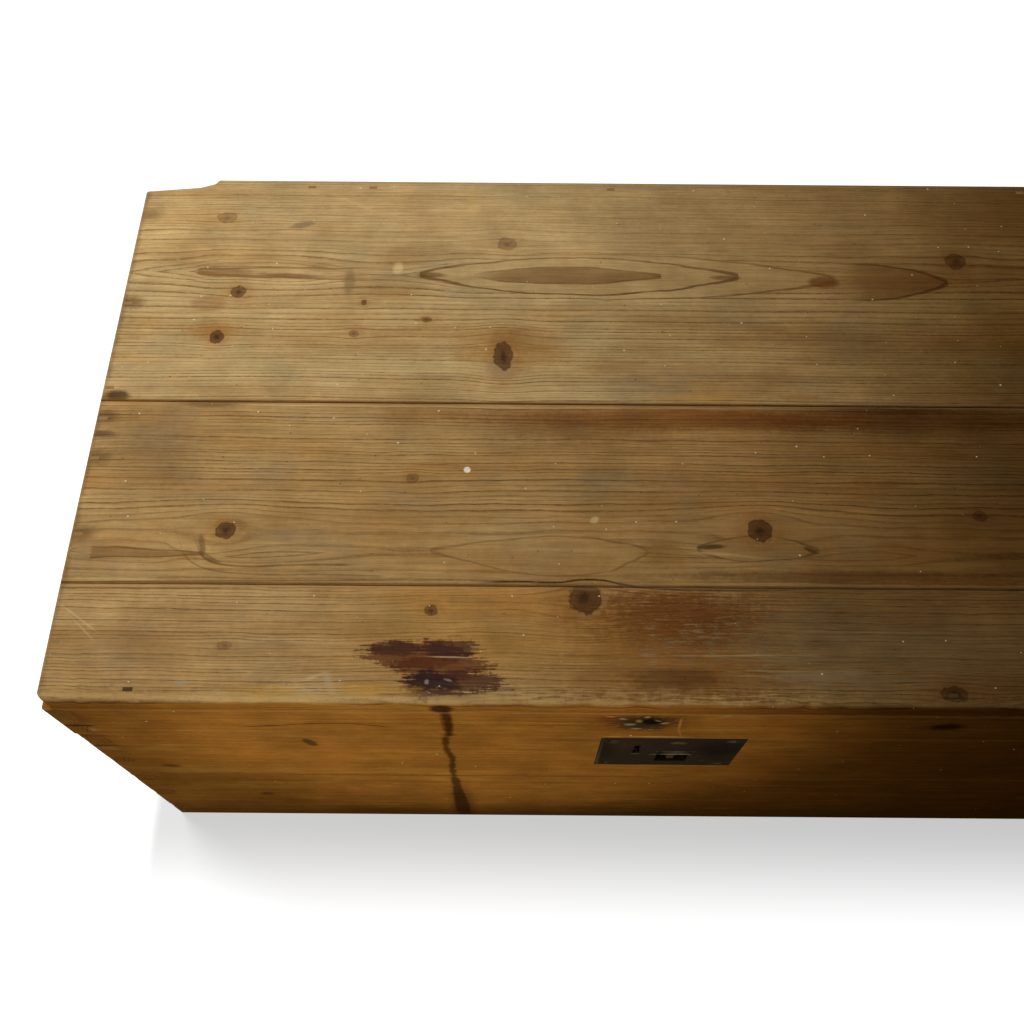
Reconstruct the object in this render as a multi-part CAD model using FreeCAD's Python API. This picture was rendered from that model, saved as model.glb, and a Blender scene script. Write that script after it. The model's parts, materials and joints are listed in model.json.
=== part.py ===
import FreeCAD, Part

import math
import os

# An old pine storage box with a lid of three boards, dovetailed corners, a
# flush iron lock, two iron hinges and a drop handle at each end.
# Millimetres. X runs to the right, Y to the back and Z up. The origin is on
# the floor at the middle of the body. The lid is shut and the bolt is down.

# Body boards
body_length = 920.0
body_depth = 490.0
body_height = 296.0
side_thickness = 18.0
lower_course_height = 166.0
bottom_thickness = 16.0
bottom_lap = 9.0
bottom_board_count = 3
shrinkage_gap = 0.6

# Lid boards
skirt_height = 62.0
skirt_thickness = 18.0
skirt_overhang = 3.0
top_thickness = 22.0
front_top_board_width = 90.0
middle_top_board_width = 160.0
front_arris_radius = 6.0
end_arris_radius = 3.0
chip_length = 66.0
chip_depth = 16.0
chip_outline_shares = ((0.0, 1.0), (0.74, 0.68), (0.94, 0.38), (1.0, 0.0))

# Dovetails. A pin is narrow at the corner and widens inwards on both sides.
pin_height = 14.0
narrow_skirt_pin_height = 11.0
wide_skirt_pin_height = 26.0
pin_flare = 3.0
lower_pin_shares = (0.22, 0.58, 0.92)
upper_pin_shares = (0.38, 0.85)
narrow_skirt_pin_share = 0.20
wide_skirt_pin_share = 0.72

# Cut nails, which taper in width and not in thickness
nail_length = 42.0
nail_gauge = 3.0
nail_head_width = 7.0
nail_head_thickness = 1.6
nail_neck_width = 4.5
nail_tip_width = 1.5
front_nail_shares = (0.07, 0.305, 0.70, 0.93)
back_nail_shares = (0.163, 0.223, 0.457, 0.658, 0.86)
end_nail_depth_shares = (0.09, 0.265, 0.40, 0.475, 0.535, 0.71, 0.91)
bottom_long_nail_shares = (0.08, 0.29, 0.5, 0.71, 0.92)
bottom_end_nail_shares = (0.25, 0.75)

# Lock plate, let into the front flush with the wood
plate_width = 113.0
plate_height = 83.0
plate_thickness = 2.0
plate_nail_side_inset = 6.0
plate_nail_end_inset = 8.0
pocket_middle_x = 5.0
pocket_width = 26.0
pocket_height = 28.0
pocket_above_plate_foot = 13.0
lip_thickness = 3.0
lip_reach = 2.3
lip_tip_thickness = 1.6
keyhole_x = -26.0
keyhole_round_radius = 3.5
keyhole_slot_width = 5.0
keyhole_slot_height = 19.0
keyhole_above_plate_foot = 41.0

# Lock case and works
case_width = 92.0
case_height = 66.0
case_wall = 1.5
case_backing = 4.0
bolt_thickness = 5.0
tongue_width = 6.0
bolt_arm_height = 7.0
bolt_arm_gap = 3.0
bolt_arm_length = 18.0
bolt_clearance = 0.3
bolt_travel = 11.0
key_pin_radius = 1.8
spring_thickness = 0.8
spring_foot_height = 12.0
spring_leaf_length = 40.0
rivet_radius = 2.0
rivet_below_case_top = 9.5
rose_head_width = 5.0
rose_head_height = 1.0
rose_nail_width = 2.2
rose_nail_length = 14.0

# Hinges
hinge_inset = 150.0
hinge_length = 64.0
hinge_leaf_depth = 15.0
hinge_leaf_thickness = 2.5
knuckle_radius = 4.5
knuckle_count = 3
knuckle_side_gap = 0.3
hinge_stand_off = 0.3
hinge_pin_radius = 2.5
hinge_pin_clearance = 0.05
hinge_screw_shares = (0.18, 0.5, 0.82)
screw_head_radius = 3.6
screw_radius = 1.8
screw_length = 15.0
screw_point_length = 4.0
screw_sides = 8

# End handles
handle_height = 205.0
eye_spacing = 110.0
eye_radius = 10.0
eye_thickness = 8.0
eye_shank_width = 6.0
eye_clearance = 0.5
eye_ring_sides = 12
clench_width = 15.0
clench_thickness = 2.0
bail_radius = 4.0
bail_sides = 8
bail_drop = 45.0
bail_stub_past_eye = 3.0
bail_side_gap = 0.5
bail_corner_bend = 15.0
bail_swell = 1.3
bail_swell_share = 0.35

# Places that follow from the sizes above
end_x = body_length / 2
back_y = body_depth / 2
front_y = -back_y
skirt_end_x = end_x + skirt_overhang
top_z = body_height + skirt_height
lid_top_z = top_z + top_thickness


def block(low_x, high_x, low_y, high_y, low_z, high_z):
    corner = FreeCAD.Vector(low_x, low_y, low_z)
    return Part.makeBox(high_x - low_x, high_y - low_y, high_z - low_z, corner)


def flat_face(corners):
    return Part.Face(Part.makePolygon(corners + corners[:1]))


def prism(points, direction):
    return flat_face(points).extrude(direction)


def prism_along_y(outline, low_y, high_y):
    points = [FreeCAD.Vector(x, low_y, z) for x, z in outline]
    return prism(points, FreeCAD.Vector(0, high_y - low_y, 0))


def prism_along_x(outline, low_x, high_x):
    points = [FreeCAD.Vector(low_x, y, z) for y, z in outline]
    return prism(points, FreeCAD.Vector(high_x - low_x, 0, 0))


def ring_corners(sides, radius, centre, axis):
    # The corners of a many-sided bar's section, which lie on the radius
    turn = FreeCAD.Rotation(FreeCAD.Vector(0, 0, 1), axis)
    corners = []
    for number in range(sides):
        angle = 2 * math.pi * (number + 0.5) / sides
        flat = FreeCAD.Vector(radius * math.cos(angle), radius * math.sin(angle), 0)
        corners.append(centre + turn.multVec(flat))
    return corners


def many_sided(profile, sides, base, axis):
    # A tapering many-sided solid from (distance along the axis, radius) pairs
    rings = [ring_corners(sides, radius, base + axis * along, axis) for along, radius in profile]
    faces = [flat_face(rings[0]), flat_face(rings[-1])]
    for low, high in zip(rings, rings[1:]):
        for number in range(sides):
            after = (number + 1) % sides
            faces.append(flat_face([low[number], low[after], high[after], high[number]]))
    solid = Part.Solid(Part.Shell(faces))
    solid.fix(Part.Precision.confusion(), Part.Precision.confusion(), Part.Precision.confusion())
    return solid


def without(solid, tools):
    # Cuts only with the tools whose boxes meet the solid
    near = [tool for tool in tools if solid.BoundBox.intersect(tool.BoundBox)]
    return solid.cut(near).Solids[0] if near else solid


def group(solids):
    return Part.makeCompound(solids)


def mirrored_in_x(shape):
    return shape.mirror(FreeCAD.Vector(0, 0, 0), FreeCAD.Vector(1, 0, 0))


# Dovetailed frames
def pin_outline(corner_x, inner_x, middle_z, height):
    outer_half = height / 2
    inner_half = outer_half + pin_flare
    return [(corner_x, middle_z - outer_half), (corner_x, middle_z + outer_half),
            (inner_x, middle_z + inner_half), (inner_x, middle_z - inner_half)]


def dovetailed_frame(length, low_z, height, thickness, pins):
    # Front and back carry the tails, the ends carry the pins. pins holds
    # (share of the height, height of the pin) pairs.
    half = length / 2
    high_z = low_z + height
    front_slab = block(-half, half, front_y, front_y + thickness, low_z, high_z)
    back_slab = block(-half, half, back_y - thickness, back_y, low_z, high_z)
    front, back = front_slab, back_slab
    ends = []
    for side in (-1, 1):
        outer_x = side * half
        inner_x = side * (half - thickness)
        end = block(min(outer_x, inner_x), max(outer_x, inner_x),
                    front_y + thickness, back_y - thickness, low_z, high_z)
        for share, pin in pins:
            outline = pin_outline(outer_x, inner_x, low_z + share * height, pin)
            through = prism_along_y(outline, front_y, back_y)
            front = front.cut(through)
            back = back.cut(through)
            end = end.fuse([through.common(front_slab), through.common(back_slab)])
        ends.append(end.removeSplitter().Solids[0])
    return front.Solids[0], back.Solids[0], ends[0], ends[1]


# Nails
def cut_nail(head, way):
    # way is 1 for a nail driven up and -1 for one driven down
    outline = [(-nail_head_width / 2, 0), (nail_head_width / 2, 0),
               (nail_head_width / 2, nail_head_thickness),
               (nail_neck_width / 2, nail_head_thickness),
               (nail_tip_width / 2, nail_length), (-nail_tip_width / 2, nail_length),
               (-nail_neck_width / 2, nail_head_thickness),
               (-nail_head_width / 2, nail_head_thickness)]
    placed = [(head.x + x, head.z + way * z) for x, z in outline]
    return prism_along_y(placed, head.y - nail_gauge / 2, head.y + nail_gauge / 2)


def rose_nail(head):
    # A small forged nail with a four-sided head and shank, driven in from the front
    out = FreeCAD.Vector(0, -1, 0)
    corner = math.sqrt(0.5)
    crown = many_sided([(0, rose_head_width * corner),
                        (rose_head_height, rose_head_width * corner / 2)], 4, head, out)
    shank = many_sided([(-rose_nail_length, rose_nail_width * corner / 2),
                        (0, rose_nail_width * corner)], 4, head, out)
    return crown.fuse(shank)


def lid_nails():
    long_rail_y = back_y - skirt_thickness / 2
    end_rail_x = skirt_end_x - skirt_thickness / 2
    front = [cut_nail(FreeCAD.Vector((share - 0.5) * body_length, -long_rail_y, lid_top_z), -1)
             for share in front_nail_shares]
    back = [cut_nail(FreeCAD.Vector((share - 0.5) * body_length, long_rail_y, lid_top_z), -1)
            for share in back_nail_shares]
    ends = [cut_nail(FreeCAD.Vector(side * end_rail_x, (share - 0.5) * body_depth, lid_top_z), -1)
            for side in (-1, 1) for share in end_nail_depth_shares]
    return front, back, ends


def bottom_nails():
    # Driven up through the bottom boards into the shoulder of the rabbet
    shoulder = side_thickness - bottom_lap / 2
    inner_length = body_length - 2 * side_thickness
    nails = []
    for way in (-1, 1):
        for share in bottom_long_nail_shares:
            place = ((share - 0.5) * inner_length, way * (back_y - shoulder))
            nails.append(cut_nail(FreeCAD.Vector(place[0], place[1], 0), 1))
        for number in range(bottom_board_count):
            for share in bottom_end_nail_shares:
                along = (number + share) / bottom_board_count - 0.5
                place = (way * (end_x - shoulder), along * (body_depth - 2 * shoulder))
                nails.append(cut_nail(FreeCAD.Vector(place[0], place[1], 0), 1))
    return nails


# Lid boards
def rounded_top_board(low_y, high_y, is_front, is_back):
    board = block(-end_x, end_x, low_y, high_y, top_z, lid_top_z)

    def edges_where(test):
        return [edge for edge in board.Edges if all(test(corner.Point) for corner in edge.Vertexes)]

    def on_top(point):
        return abs(point.z - lid_top_z) < Part.Precision.confusion()

    def at_front(point):
        return abs(point.y - low_y) < Part.Precision.confusion()

    def at_end(point, end):
        return abs(point.x - end) < Part.Precision.confusion()

    if is_front:
        upright = (edges_where(lambda p: at_front(p) and at_end(p, -end_x))
                   + edges_where(lambda p: at_front(p) and at_end(p, end_x)))
        front_top = edges_where(lambda p: on_top(p) and at_front(p))
        board = board.makeFillet(front_arris_radius, upright + front_top)
    worn = edges_where(lambda p: on_top(p) and abs(abs(p.x) - end_x) < Part.Precision.confusion())
    if is_back:
        worn = worn + edges_where(lambda p: on_top(p) and abs(p.y - high_y) < Part.Precision.confusion())
    return board.makeFillet(end_arris_radius, worn)


def corner_chip():
    # The broken back left corner of the lid
    outline = [(-end_x + along * chip_length, back_y - deep * chip_depth)
               for along, deep in chip_outline_shares]
    outline = [(-end_x - skirt_overhang, back_y - chip_depth)] + outline
    outline = outline + [(outline[-1][0], back_y + skirt_overhang),
                         (-end_x - skirt_overhang, back_y + skirt_overhang)]
    points = [FreeCAD.Vector(x, y, top_z) for x, y in outline]
    return prism(points, FreeCAD.Vector(0, 0, top_thickness))


def lid_top_boards():
    first_joint = front_y + front_top_board_width
    second_joint = first_joint + middle_top_board_width
    front = rounded_top_board(front_y, first_joint, True, False)
    middle = rounded_top_board(first_joint + shrinkage_gap, second_joint, False, False)
    back = rounded_top_board(second_joint + shrinkage_gap, back_y, False, True)
    return front, middle, back.cut(corner_chip())


# Bottom boards
def bottom_boards():
    half_length = end_x - side_thickness + bottom_lap
    half_depth = back_y - side_thickness + bottom_lap
    panel = block(-half_length, half_length, -half_depth, half_depth, 0, bottom_thickness)
    pitch = 2 * half_depth / bottom_board_count
    boards = []
    for number in range(bottom_board_count):
        low_y = -half_depth + number * pitch
        gap = shrinkage_gap if number else 0
        boards.append(block(-half_length, half_length, low_y + gap, low_y + pitch, 0, bottom_thickness))
    return panel, boards


# Lock. Its plate stands at the top edge of the front, on the middle line.
plate_foot_z = body_height - plate_height
plate_back_y = front_y + plate_thickness
case_low_z = plate_foot_z + (plate_height - case_height) / 2
case_high_z = case_low_z + case_height
case_back_y = front_y + side_thickness - case_backing
works_back_y = case_back_y - case_wall
pocket_low_z = plate_foot_z + pocket_above_plate_foot
pocket_high_z = pocket_low_z + pocket_height
keyhole_z = plate_foot_z + keyhole_above_plate_foot
bolt_front_y = plate_back_y + bolt_clearance
bolt_back_y = bolt_front_y + bolt_thickness
tongue_low_x = pocket_middle_x - tongue_width / 2
tongue_high_x = pocket_middle_x + tongue_width / 2
tongue_foot_z = case_low_z + case_wall + bolt_clearance
arm_low_z = pocket_high_z + bolt_arm_gap
rivet_z = case_high_z - rivet_below_case_top


def plate_block():
    return block(-plate_width / 2, plate_width / 2, front_y, plate_back_y,
                 plate_foot_z, body_height)


def case_block():
    return block(-case_width / 2, case_width / 2, plate_back_y, case_back_y,
                 case_low_z, case_high_z)


def keyhole_cutter():
    out = FreeCAD.Vector(0, 1, 0)
    base = FreeCAD.Vector(keyhole_x, front_y, keyhole_z)
    barrel = Part.makeCylinder(keyhole_round_radius, plate_thickness, base, out)
    slot = block(keyhole_x - keyhole_slot_width / 2, keyhole_x + keyhole_slot_width / 2,
                 front_y, plate_back_y, keyhole_z, keyhole_z + keyhole_slot_height)
    return barrel.fuse(slot)


def lock_plate_nails():
    nail_x = plate_width / 2 - plate_nail_side_inset
    nail_heights = (plate_foot_z + plate_nail_end_inset, body_height - plate_nail_end_inset)
    return [rose_nail(FreeCAD.Vector(side * nail_x, front_y, height))
            for side in (-1, 1) for height in nail_heights]


def lock_rivet():
    # It holds the plate, the spring's foot and the back of the case together
    base = FreeCAD.Vector(pocket_middle_x, front_y, rivet_z)
    return Part.makeCylinder(rivet_radius, case_back_y - front_y, base, FreeCAD.Vector(0, 1, 0))


def lock_plate(fixings):
    pocket = block(pocket_middle_x - pocket_width / 2, pocket_middle_x + pocket_width / 2,
                   front_y, plate_back_y, pocket_low_z, pocket_high_z)
    lip_outline = [(front_y, pocket_high_z), (front_y, pocket_high_z + lip_thickness),
                   (front_y - lip_reach, pocket_high_z + lip_thickness),
                   (front_y - lip_reach, pocket_high_z + lip_thickness - lip_tip_thickness)]
    lip = prism_along_x(lip_outline, pocket_middle_x - pocket_width / 2,
                        pocket_middle_x + pocket_width / 2)
    plate = plate_block().cut([pocket, keyhole_cutter()]).fuse(lip)
    return without(plate.removeSplitter().Solids[0], fixings)


def lock_case(rivet):
    hollow = block(-case_width / 2 + case_wall, case_width / 2 - case_wall, plate_back_y,
                   works_back_y, case_low_z + case_wall, case_high_z - case_wall)
    return without(case_block().cut(hollow), [rivet])


def lock_bolt():
    # A tongue across the pocket, with an arm that the key lifts
    arm_end_x = tongue_low_x - bolt_arm_length
    arm_high_z = arm_low_z + bolt_arm_height
    outline = [(tongue_low_x, tongue_foot_z), (tongue_high_x, tongue_foot_z),
               (tongue_high_x, arm_high_z), (arm_end_x, arm_high_z),
               (arm_end_x, arm_low_z), (tongue_low_x, arm_low_z)]
    return prism_along_y(outline, bolt_front_y, bolt_back_y)


def lock_keeper():
    # The sill under the staple, notched for the foot of the tongue
    sill = block(pocket_middle_x - pocket_width / 2, pocket_middle_x + pocket_width / 2,
                 plate_back_y, works_back_y, case_low_z + case_wall, pocket_low_z)
    notch = block(tongue_low_x - bolt_clearance, tongue_high_x + bolt_clearance,
                  plate_back_y, bolt_back_y + bolt_clearance, case_low_z + case_wall, pocket_low_z)
    return sill.cut(notch)


def lock_key_pin():
    base = FreeCAD.Vector(keyhole_x, plate_back_y, keyhole_z)
    return Part.makeCylinder(key_pin_radius, works_back_y - plate_back_y, base, FreeCAD.Vector(0, 1, 0))


def lock_spring(rivet):
    # A leaf held by the rivet, bowed forward against the back of the tongue
    foot_low_z = rivet_z - spring_foot_height / 2
    foot_high_z = rivet_z + spring_foot_height / 2
    leaf_end_z = foot_low_z - spring_leaf_length
    middle_z = (foot_low_z + leaf_end_z) / 2
    crest_y = bolt_back_y + bolt_clearance
    low_x = tongue_low_x

    def point(y, z):
        return FreeCAD.Vector(low_x, y, z)

    inner_y = works_back_y - spring_thickness
    edges = [Part.LineSegment(point(works_back_y, foot_high_z), point(inner_y, foot_high_z)),
             Part.LineSegment(point(inner_y, foot_high_z), point(inner_y, foot_low_z)),
             Part.Arc(point(inner_y, foot_low_z), point(crest_y, middle_z), point(inner_y, leaf_end_z)),
             Part.LineSegment(point(inner_y, leaf_end_z), point(works_back_y, leaf_end_z)),
             Part.Arc(point(works_back_y, leaf_end_z), point(crest_y + spring_thickness, middle_z),
                      point(works_back_y, foot_low_z)),
             Part.LineSegment(point(works_back_y, foot_low_z), point(works_back_y, foot_high_z))]
    face = Part.Face(Part.Wire([edge.toShape() for edge in edges]))
    return without(face.extrude(FreeCAD.Vector(tongue_width, 0, 0)), [rivet])


# Hinges. The pin's axis lies at the seam, just behind the back of the box.
hinge_axis_y = back_y + hinge_stand_off + knuckle_radius
knuckle_pitch = hinge_length / knuckle_count
hinge_bore_radius = hinge_pin_radius + hinge_pin_clearance


def hinge_leaf(middle_x, way):
    # way is 1 for the leaf in the lid and -1 for the leaf in the body. The
    # body's leaf has the outer knuckles.
    low_x = middle_x - hinge_length / 2
    levels = sorted((body_height, body_height + way * hinge_leaf_thickness))
    leaf = block(low_x, low_x + hinge_length, back_y - hinge_leaf_depth, back_y, levels[0], levels[1])
    pieces = []
    for number in range(0 if way < 0 else 1, knuckle_count, 2):
        start = low_x + number * knuckle_pitch + knuckle_side_gap / 2
        length = knuckle_pitch - knuckle_side_gap
        base = FreeCAD.Vector(start, hinge_axis_y, body_height)
        pieces.append(block(start, start + length, back_y, hinge_axis_y, levels[0], levels[1]))
        pieces.append(Part.makeCylinder(knuckle_radius, length, base, FreeCAD.Vector(1, 0, 0)))
    base = FreeCAD.Vector(low_x, hinge_axis_y, body_height)
    bore = Part.makeCylinder(hinge_bore_radius, hinge_length, base, FreeCAD.Vector(1, 0, 0))
    return leaf.fuse(pieces).removeSplitter().cut(bore).Solids[0]


def hinge_seat(middle_x, way):
    low_x = middle_x - hinge_length / 2
    levels = sorted((body_height, body_height + way * hinge_leaf_thickness))
    return block(low_x, low_x + hinge_length, back_y - hinge_leaf_depth, back_y, levels[0], levels[1])


def hinge_pin(middle_x):
    base = FreeCAD.Vector(middle_x - hinge_length / 2, hinge_axis_y, body_height)
    return Part.makeCylinder(hinge_pin_radius, hinge_length, base, FreeCAD.Vector(1, 0, 0))


def hinge_screws(middle_x, way):
    profile = [(0, screw_head_radius), (hinge_leaf_thickness, screw_radius),
               (screw_length - screw_point_length, screw_radius),
               (screw_length, screw_radius / 2)]
    y = back_y - hinge_leaf_depth / 2
    return [many_sided(profile, screw_sides,
                       FreeCAD.Vector(middle_x + (share - 0.5) * hinge_length, y, body_height),
                       FreeCAD.Vector(0, 0, way))
            for share in hinge_screw_shares]


# Left end handle. The right one is its mirror image.
bail_axis_x = -end_x - eye_radius


def eye_shank(y):
    return block(bail_axis_x + bail_radius + 2 * eye_clearance, -end_x + side_thickness,
                 y - eye_shank_width / 2, y + eye_shank_width / 2,
                 handle_height - eye_shank_width / 2, handle_height + eye_shank_width / 2)


def handle_eye(y):
    # A forged many-sided ring on a square shank, clenched over a square rove inside
    along = FreeCAD.Vector(0, 1, 0)
    base = FreeCAD.Vector(bail_axis_x, y - eye_thickness / 2, handle_height)
    ring = many_sided([(0, eye_radius), (eye_thickness, eye_radius)], eye_ring_sides, base, along)
    bore = Part.makeCylinder(bail_radius + eye_clearance, eye_thickness, base, along)
    inner_x = -end_x + side_thickness
    clench = block(inner_x, inner_x + clench_thickness, y - clench_width / 2, y + clench_width / 2,
                   handle_height - clench_width / 2, handle_height + clench_width / 2)
    return ring.fuse([eye_shank(y), clench]).removeSplitter().cut(bore).Solids[0]


def bail_arm(side):
    # An eight-sided bar: a stub through the eye, a square shoulder, an arm and a round corner
    flat = bail_radius * math.cos(math.pi / bail_sides)
    stub_y = eye_spacing / 2 - eye_thickness / 2 - bail_stub_past_eye
    arm_y = eye_spacing / 2 + eye_thickness / 2 + bail_side_gap + flat
    grip_y = arm_y - bail_corner_bend
    arm_top_z = handle_height + flat
    arm_foot_z = handle_height - bail_drop + bail_corner_bend
    down = FreeCAD.Vector(0, 0, -1)

    def point(y, z):
        return FreeCAD.Vector(bail_axis_x, side * y, z)

    stub = many_sided([(0, bail_radius), (arm_y + flat - stub_y, bail_radius)], bail_sides,
                      point(stub_y, handle_height), FreeCAD.Vector(0, side, 0))
    arm = many_sided([(0, bail_radius), (arm_top_z - arm_foot_z, bail_radius)], bail_sides,
                     point(arm_y, arm_top_z), down)
    section = flat_face(ring_corners(bail_sides, bail_radius, point(arm_y, arm_foot_z), down))
    corner = section.revolve(point(grip_y, arm_foot_z), FreeCAD.Vector(-side, 0, 0), 90)
    return [stub, arm, corner], grip_y


def handle_bail():
    # The two arms meet a grip that swells towards its middle
    first, grip_y = bail_arm(1)
    second, _ = bail_arm(-1)
    swell_y = grip_y * bail_swell_share
    profile = [(-grip_y, bail_radius), (-swell_y, bail_radius + bail_swell),
               (swell_y, bail_radius + bail_swell), (grip_y, bail_radius)]
    middle = FreeCAD.Vector(bail_axis_x, 0, handle_height - bail_drop)
    grip = many_sided(profile, bail_sides, middle, FreeCAD.Vector(0, 1, 0))
    return grip.fuse(first + second).removeSplitter().Solids[0]


def handle_eyes():
    return [handle_eye(side * eye_spacing / 2) for side in (-1, 1)]


# The whole box
def build():
    parts = {}
    handle_shanks = [eye_shank(side * eye_spacing / 2) for side in (-1, 1)]
    handle_shanks = handle_shanks + [mirrored_in_x(shank) for shank in handle_shanks]
    hinge_places = {"left": hinge_inset - end_x, "right": end_x - hinge_inset}
    plate_nails = lock_plate_nails()
    rivet = lock_rivet()

    floor_nails = bottom_nails()
    panel, boards = bottom_boards()
    for name, board in zip(("front", "middle", "back"), boards):
        parts["bottom_board_" + name] = without(board, floor_nails)
    parts["bottom_nails"] = group(floor_nails)

    body_screws = [screw for x in hinge_places.values() for screw in hinge_screws(x, -1)]
    body_seats = [hinge_seat(x, -1) for x in hinge_places.values()]
    courses = {"lower": (0, lower_course_height, lower_pin_shares),
               "upper": (lower_course_height, body_height - lower_course_height, upper_pin_shares)}
    for level, (low_z, height, shares) in courses.items():
        pins = [(share, pin_height) for share in shares]
        frame = dovetailed_frame(body_length, low_z, height, side_thickness, pins)
        fitted_in = [panel, plate_block(), case_block()] + floor_nails + plate_nails
        fitted_in = fitted_in + body_screws + body_seats + handle_shanks
        for side, board in zip(("front", "back", "left", "right"), frame):
            parts[side + "_board_" + level] = without(board, fitted_in)

    parts["lock_plate"] = lock_plate(plate_nails + [rivet])
    parts["lock_plate_nails"] = group(plate_nails)
    parts["lock_rivet"] = rivet
    parts["lock_case"] = lock_case(rivet)
    parts["lock_bolt"] = lock_bolt()
    parts["lock_keeper"] = lock_keeper()
    parts["lock_key_pin"] = lock_key_pin()
    parts["lock_spring"] = lock_spring(rivet)

    front_nails, back_nails, end_nails = lid_nails()
    top_nails = front_nails + back_nails + end_nails
    lid_screws = [screw for x in hinge_places.values() for screw in hinge_screws(x, 1)]
    lid_seats = [hinge_seat(x, 1) for x in hinge_places.values()]
    for name, board in zip(("front", "middle", "back"), lid_top_boards()):
        parts["lid_board_" + name] = without(board, top_nails)
    skirt_pins = [(narrow_skirt_pin_share, narrow_skirt_pin_height),
                  (wide_skirt_pin_share, wide_skirt_pin_height)]
    skirt = dovetailed_frame(2 * skirt_end_x, body_height, skirt_height, skirt_thickness, skirt_pins)
    for side, board in zip(("front", "back", "left", "right"), skirt):
        parts["lid_rail_" + side] = without(board, top_nails + lid_screws + lid_seats)
    parts["lid_nails_front"] = group(front_nails)
    parts["lid_nails_back"] = group(back_nails)
    parts["lid_nails_ends"] = group(end_nails)

    for side, x in hinge_places.items():
        parts["hinge_" + side + "_body_leaf"] = without(hinge_leaf(x, -1), body_screws)
        parts["hinge_" + side + "_lid_leaf"] = without(hinge_leaf(x, 1), lid_screws)
        parts["hinge_" + side + "_pin"] = hinge_pin(x)
    parts["hinge_body_screws"] = group(body_screws)
    parts["hinge_lid_screws"] = group(lid_screws)

    parts["handle_left_eyes"] = group(handle_eyes())
    parts["handle_left_bail"] = handle_bail()
    parts["handle_right_eyes"] = group([mirrored_in_x(eye) for eye in handle_eyes()])
    parts["handle_right_bail"] = mirrored_in_x(handle_bail())
    return parts


os.makedirs("parts", exist_ok=True)
for node, shape in build().items():
    shape.exportStep(os.path.join("parts", node + ".step"))
    print(node, len(shape.Solids), round(shape.Volume))
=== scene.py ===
import json
import math

import bpy
from mathutils import Matrix, Vector, noise

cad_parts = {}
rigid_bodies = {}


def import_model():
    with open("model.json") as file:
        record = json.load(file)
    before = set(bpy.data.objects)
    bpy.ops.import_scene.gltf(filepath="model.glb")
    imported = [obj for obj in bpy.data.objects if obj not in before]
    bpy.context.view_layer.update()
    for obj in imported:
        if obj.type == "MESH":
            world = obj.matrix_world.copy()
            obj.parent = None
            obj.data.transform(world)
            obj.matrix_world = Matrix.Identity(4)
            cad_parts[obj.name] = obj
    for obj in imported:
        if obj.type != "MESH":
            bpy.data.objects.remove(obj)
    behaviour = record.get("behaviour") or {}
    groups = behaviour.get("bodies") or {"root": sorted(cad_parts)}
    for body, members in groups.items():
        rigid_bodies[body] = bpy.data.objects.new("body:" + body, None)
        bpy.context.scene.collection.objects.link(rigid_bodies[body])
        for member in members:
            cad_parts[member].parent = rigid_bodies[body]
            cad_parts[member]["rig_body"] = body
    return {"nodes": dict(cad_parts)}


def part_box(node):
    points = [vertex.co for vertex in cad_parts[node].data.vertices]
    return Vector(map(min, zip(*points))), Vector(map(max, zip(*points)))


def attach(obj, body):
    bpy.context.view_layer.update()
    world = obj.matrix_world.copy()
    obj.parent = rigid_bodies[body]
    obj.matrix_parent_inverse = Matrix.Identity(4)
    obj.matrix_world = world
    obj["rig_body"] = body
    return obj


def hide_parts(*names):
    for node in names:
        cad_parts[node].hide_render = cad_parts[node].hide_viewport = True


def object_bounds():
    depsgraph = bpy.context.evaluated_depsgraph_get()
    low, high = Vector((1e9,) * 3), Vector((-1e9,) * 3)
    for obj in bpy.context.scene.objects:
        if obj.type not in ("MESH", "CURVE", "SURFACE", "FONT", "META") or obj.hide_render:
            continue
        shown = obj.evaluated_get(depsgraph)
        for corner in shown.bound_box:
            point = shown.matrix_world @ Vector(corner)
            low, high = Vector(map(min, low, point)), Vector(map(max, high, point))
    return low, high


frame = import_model()
nodes = frame["nodes"]
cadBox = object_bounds()
print("frame loaded,", len(nodes), "nodes")

# All marks are measured in millimetres from the front left corner of the box at floor level:
# x to the right, y to the back, z up.
box = {
    "length": 920.0,
    "depth": 490.0,
    "height": 380.0,
    "millimetre": 0.001,
}


def inMillimetres(place):
    x, y, z = place
    return x * 1000 + box["length"] / 2, y * 1000 + box["depth"] / 2, z * 1000


def boxOf(nodeName):
    low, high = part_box(nodeName)
    return list(zip(inMillimetres(low), inMillimetres(high)))


def shade(red, green, blue):
    # A colour as read off a screen, made linear for a shader
    def linear(value):
        value = value / 255
        return value / 12.92 if value <= 0.04045 else ((value + 0.055) / 1.055) ** 2.4
    return (linear(red), linear(green), linear(blue), 1.0)


# Shader helpers
class Value:
    # A number, place or colour that a shader works out. The plain signs add the nodes for the arithmetic.
    def __init__(self, socket):
        self.socket = socket

    def __add__(self, other):
        return maths("ADD", self, other)

    def __radd__(self, other):
        return maths("ADD", other, self)

    def __sub__(self, other):
        return maths("SUBTRACT", self, other)

    def __rsub__(self, other):
        return maths("SUBTRACT", other, self)

    def __mul__(self, other):
        return maths("MULTIPLY", self, other)

    def __truediv__(self, other):
        return maths("DIVIDE", self, other)

    def __pow__(self, other):
        return maths("POWER", self, other)


def feed(socket, value):
    if isinstance(value, Value):
        socket.id_data.links.new(value.socket, socket)
    else:
        socket.default_value = value


def newNode(kind, values, places=range(16), **settings):
    # A node in the tree that the values come from, with the values fed to these places
    tree = [value.socket.id_data for value in values if isinstance(value, Value)][0]
    node = tree.nodes.new("ShaderNode" + kind)
    for name, setting in settings.items():
        setattr(node, name, setting)
    for place, value in zip(places, values):
        feed(node.inputs[place], value)
    return node


def maths(operation, *values):
    return Value(newNode("Math", values, operation=operation).outputs[0])


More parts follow.
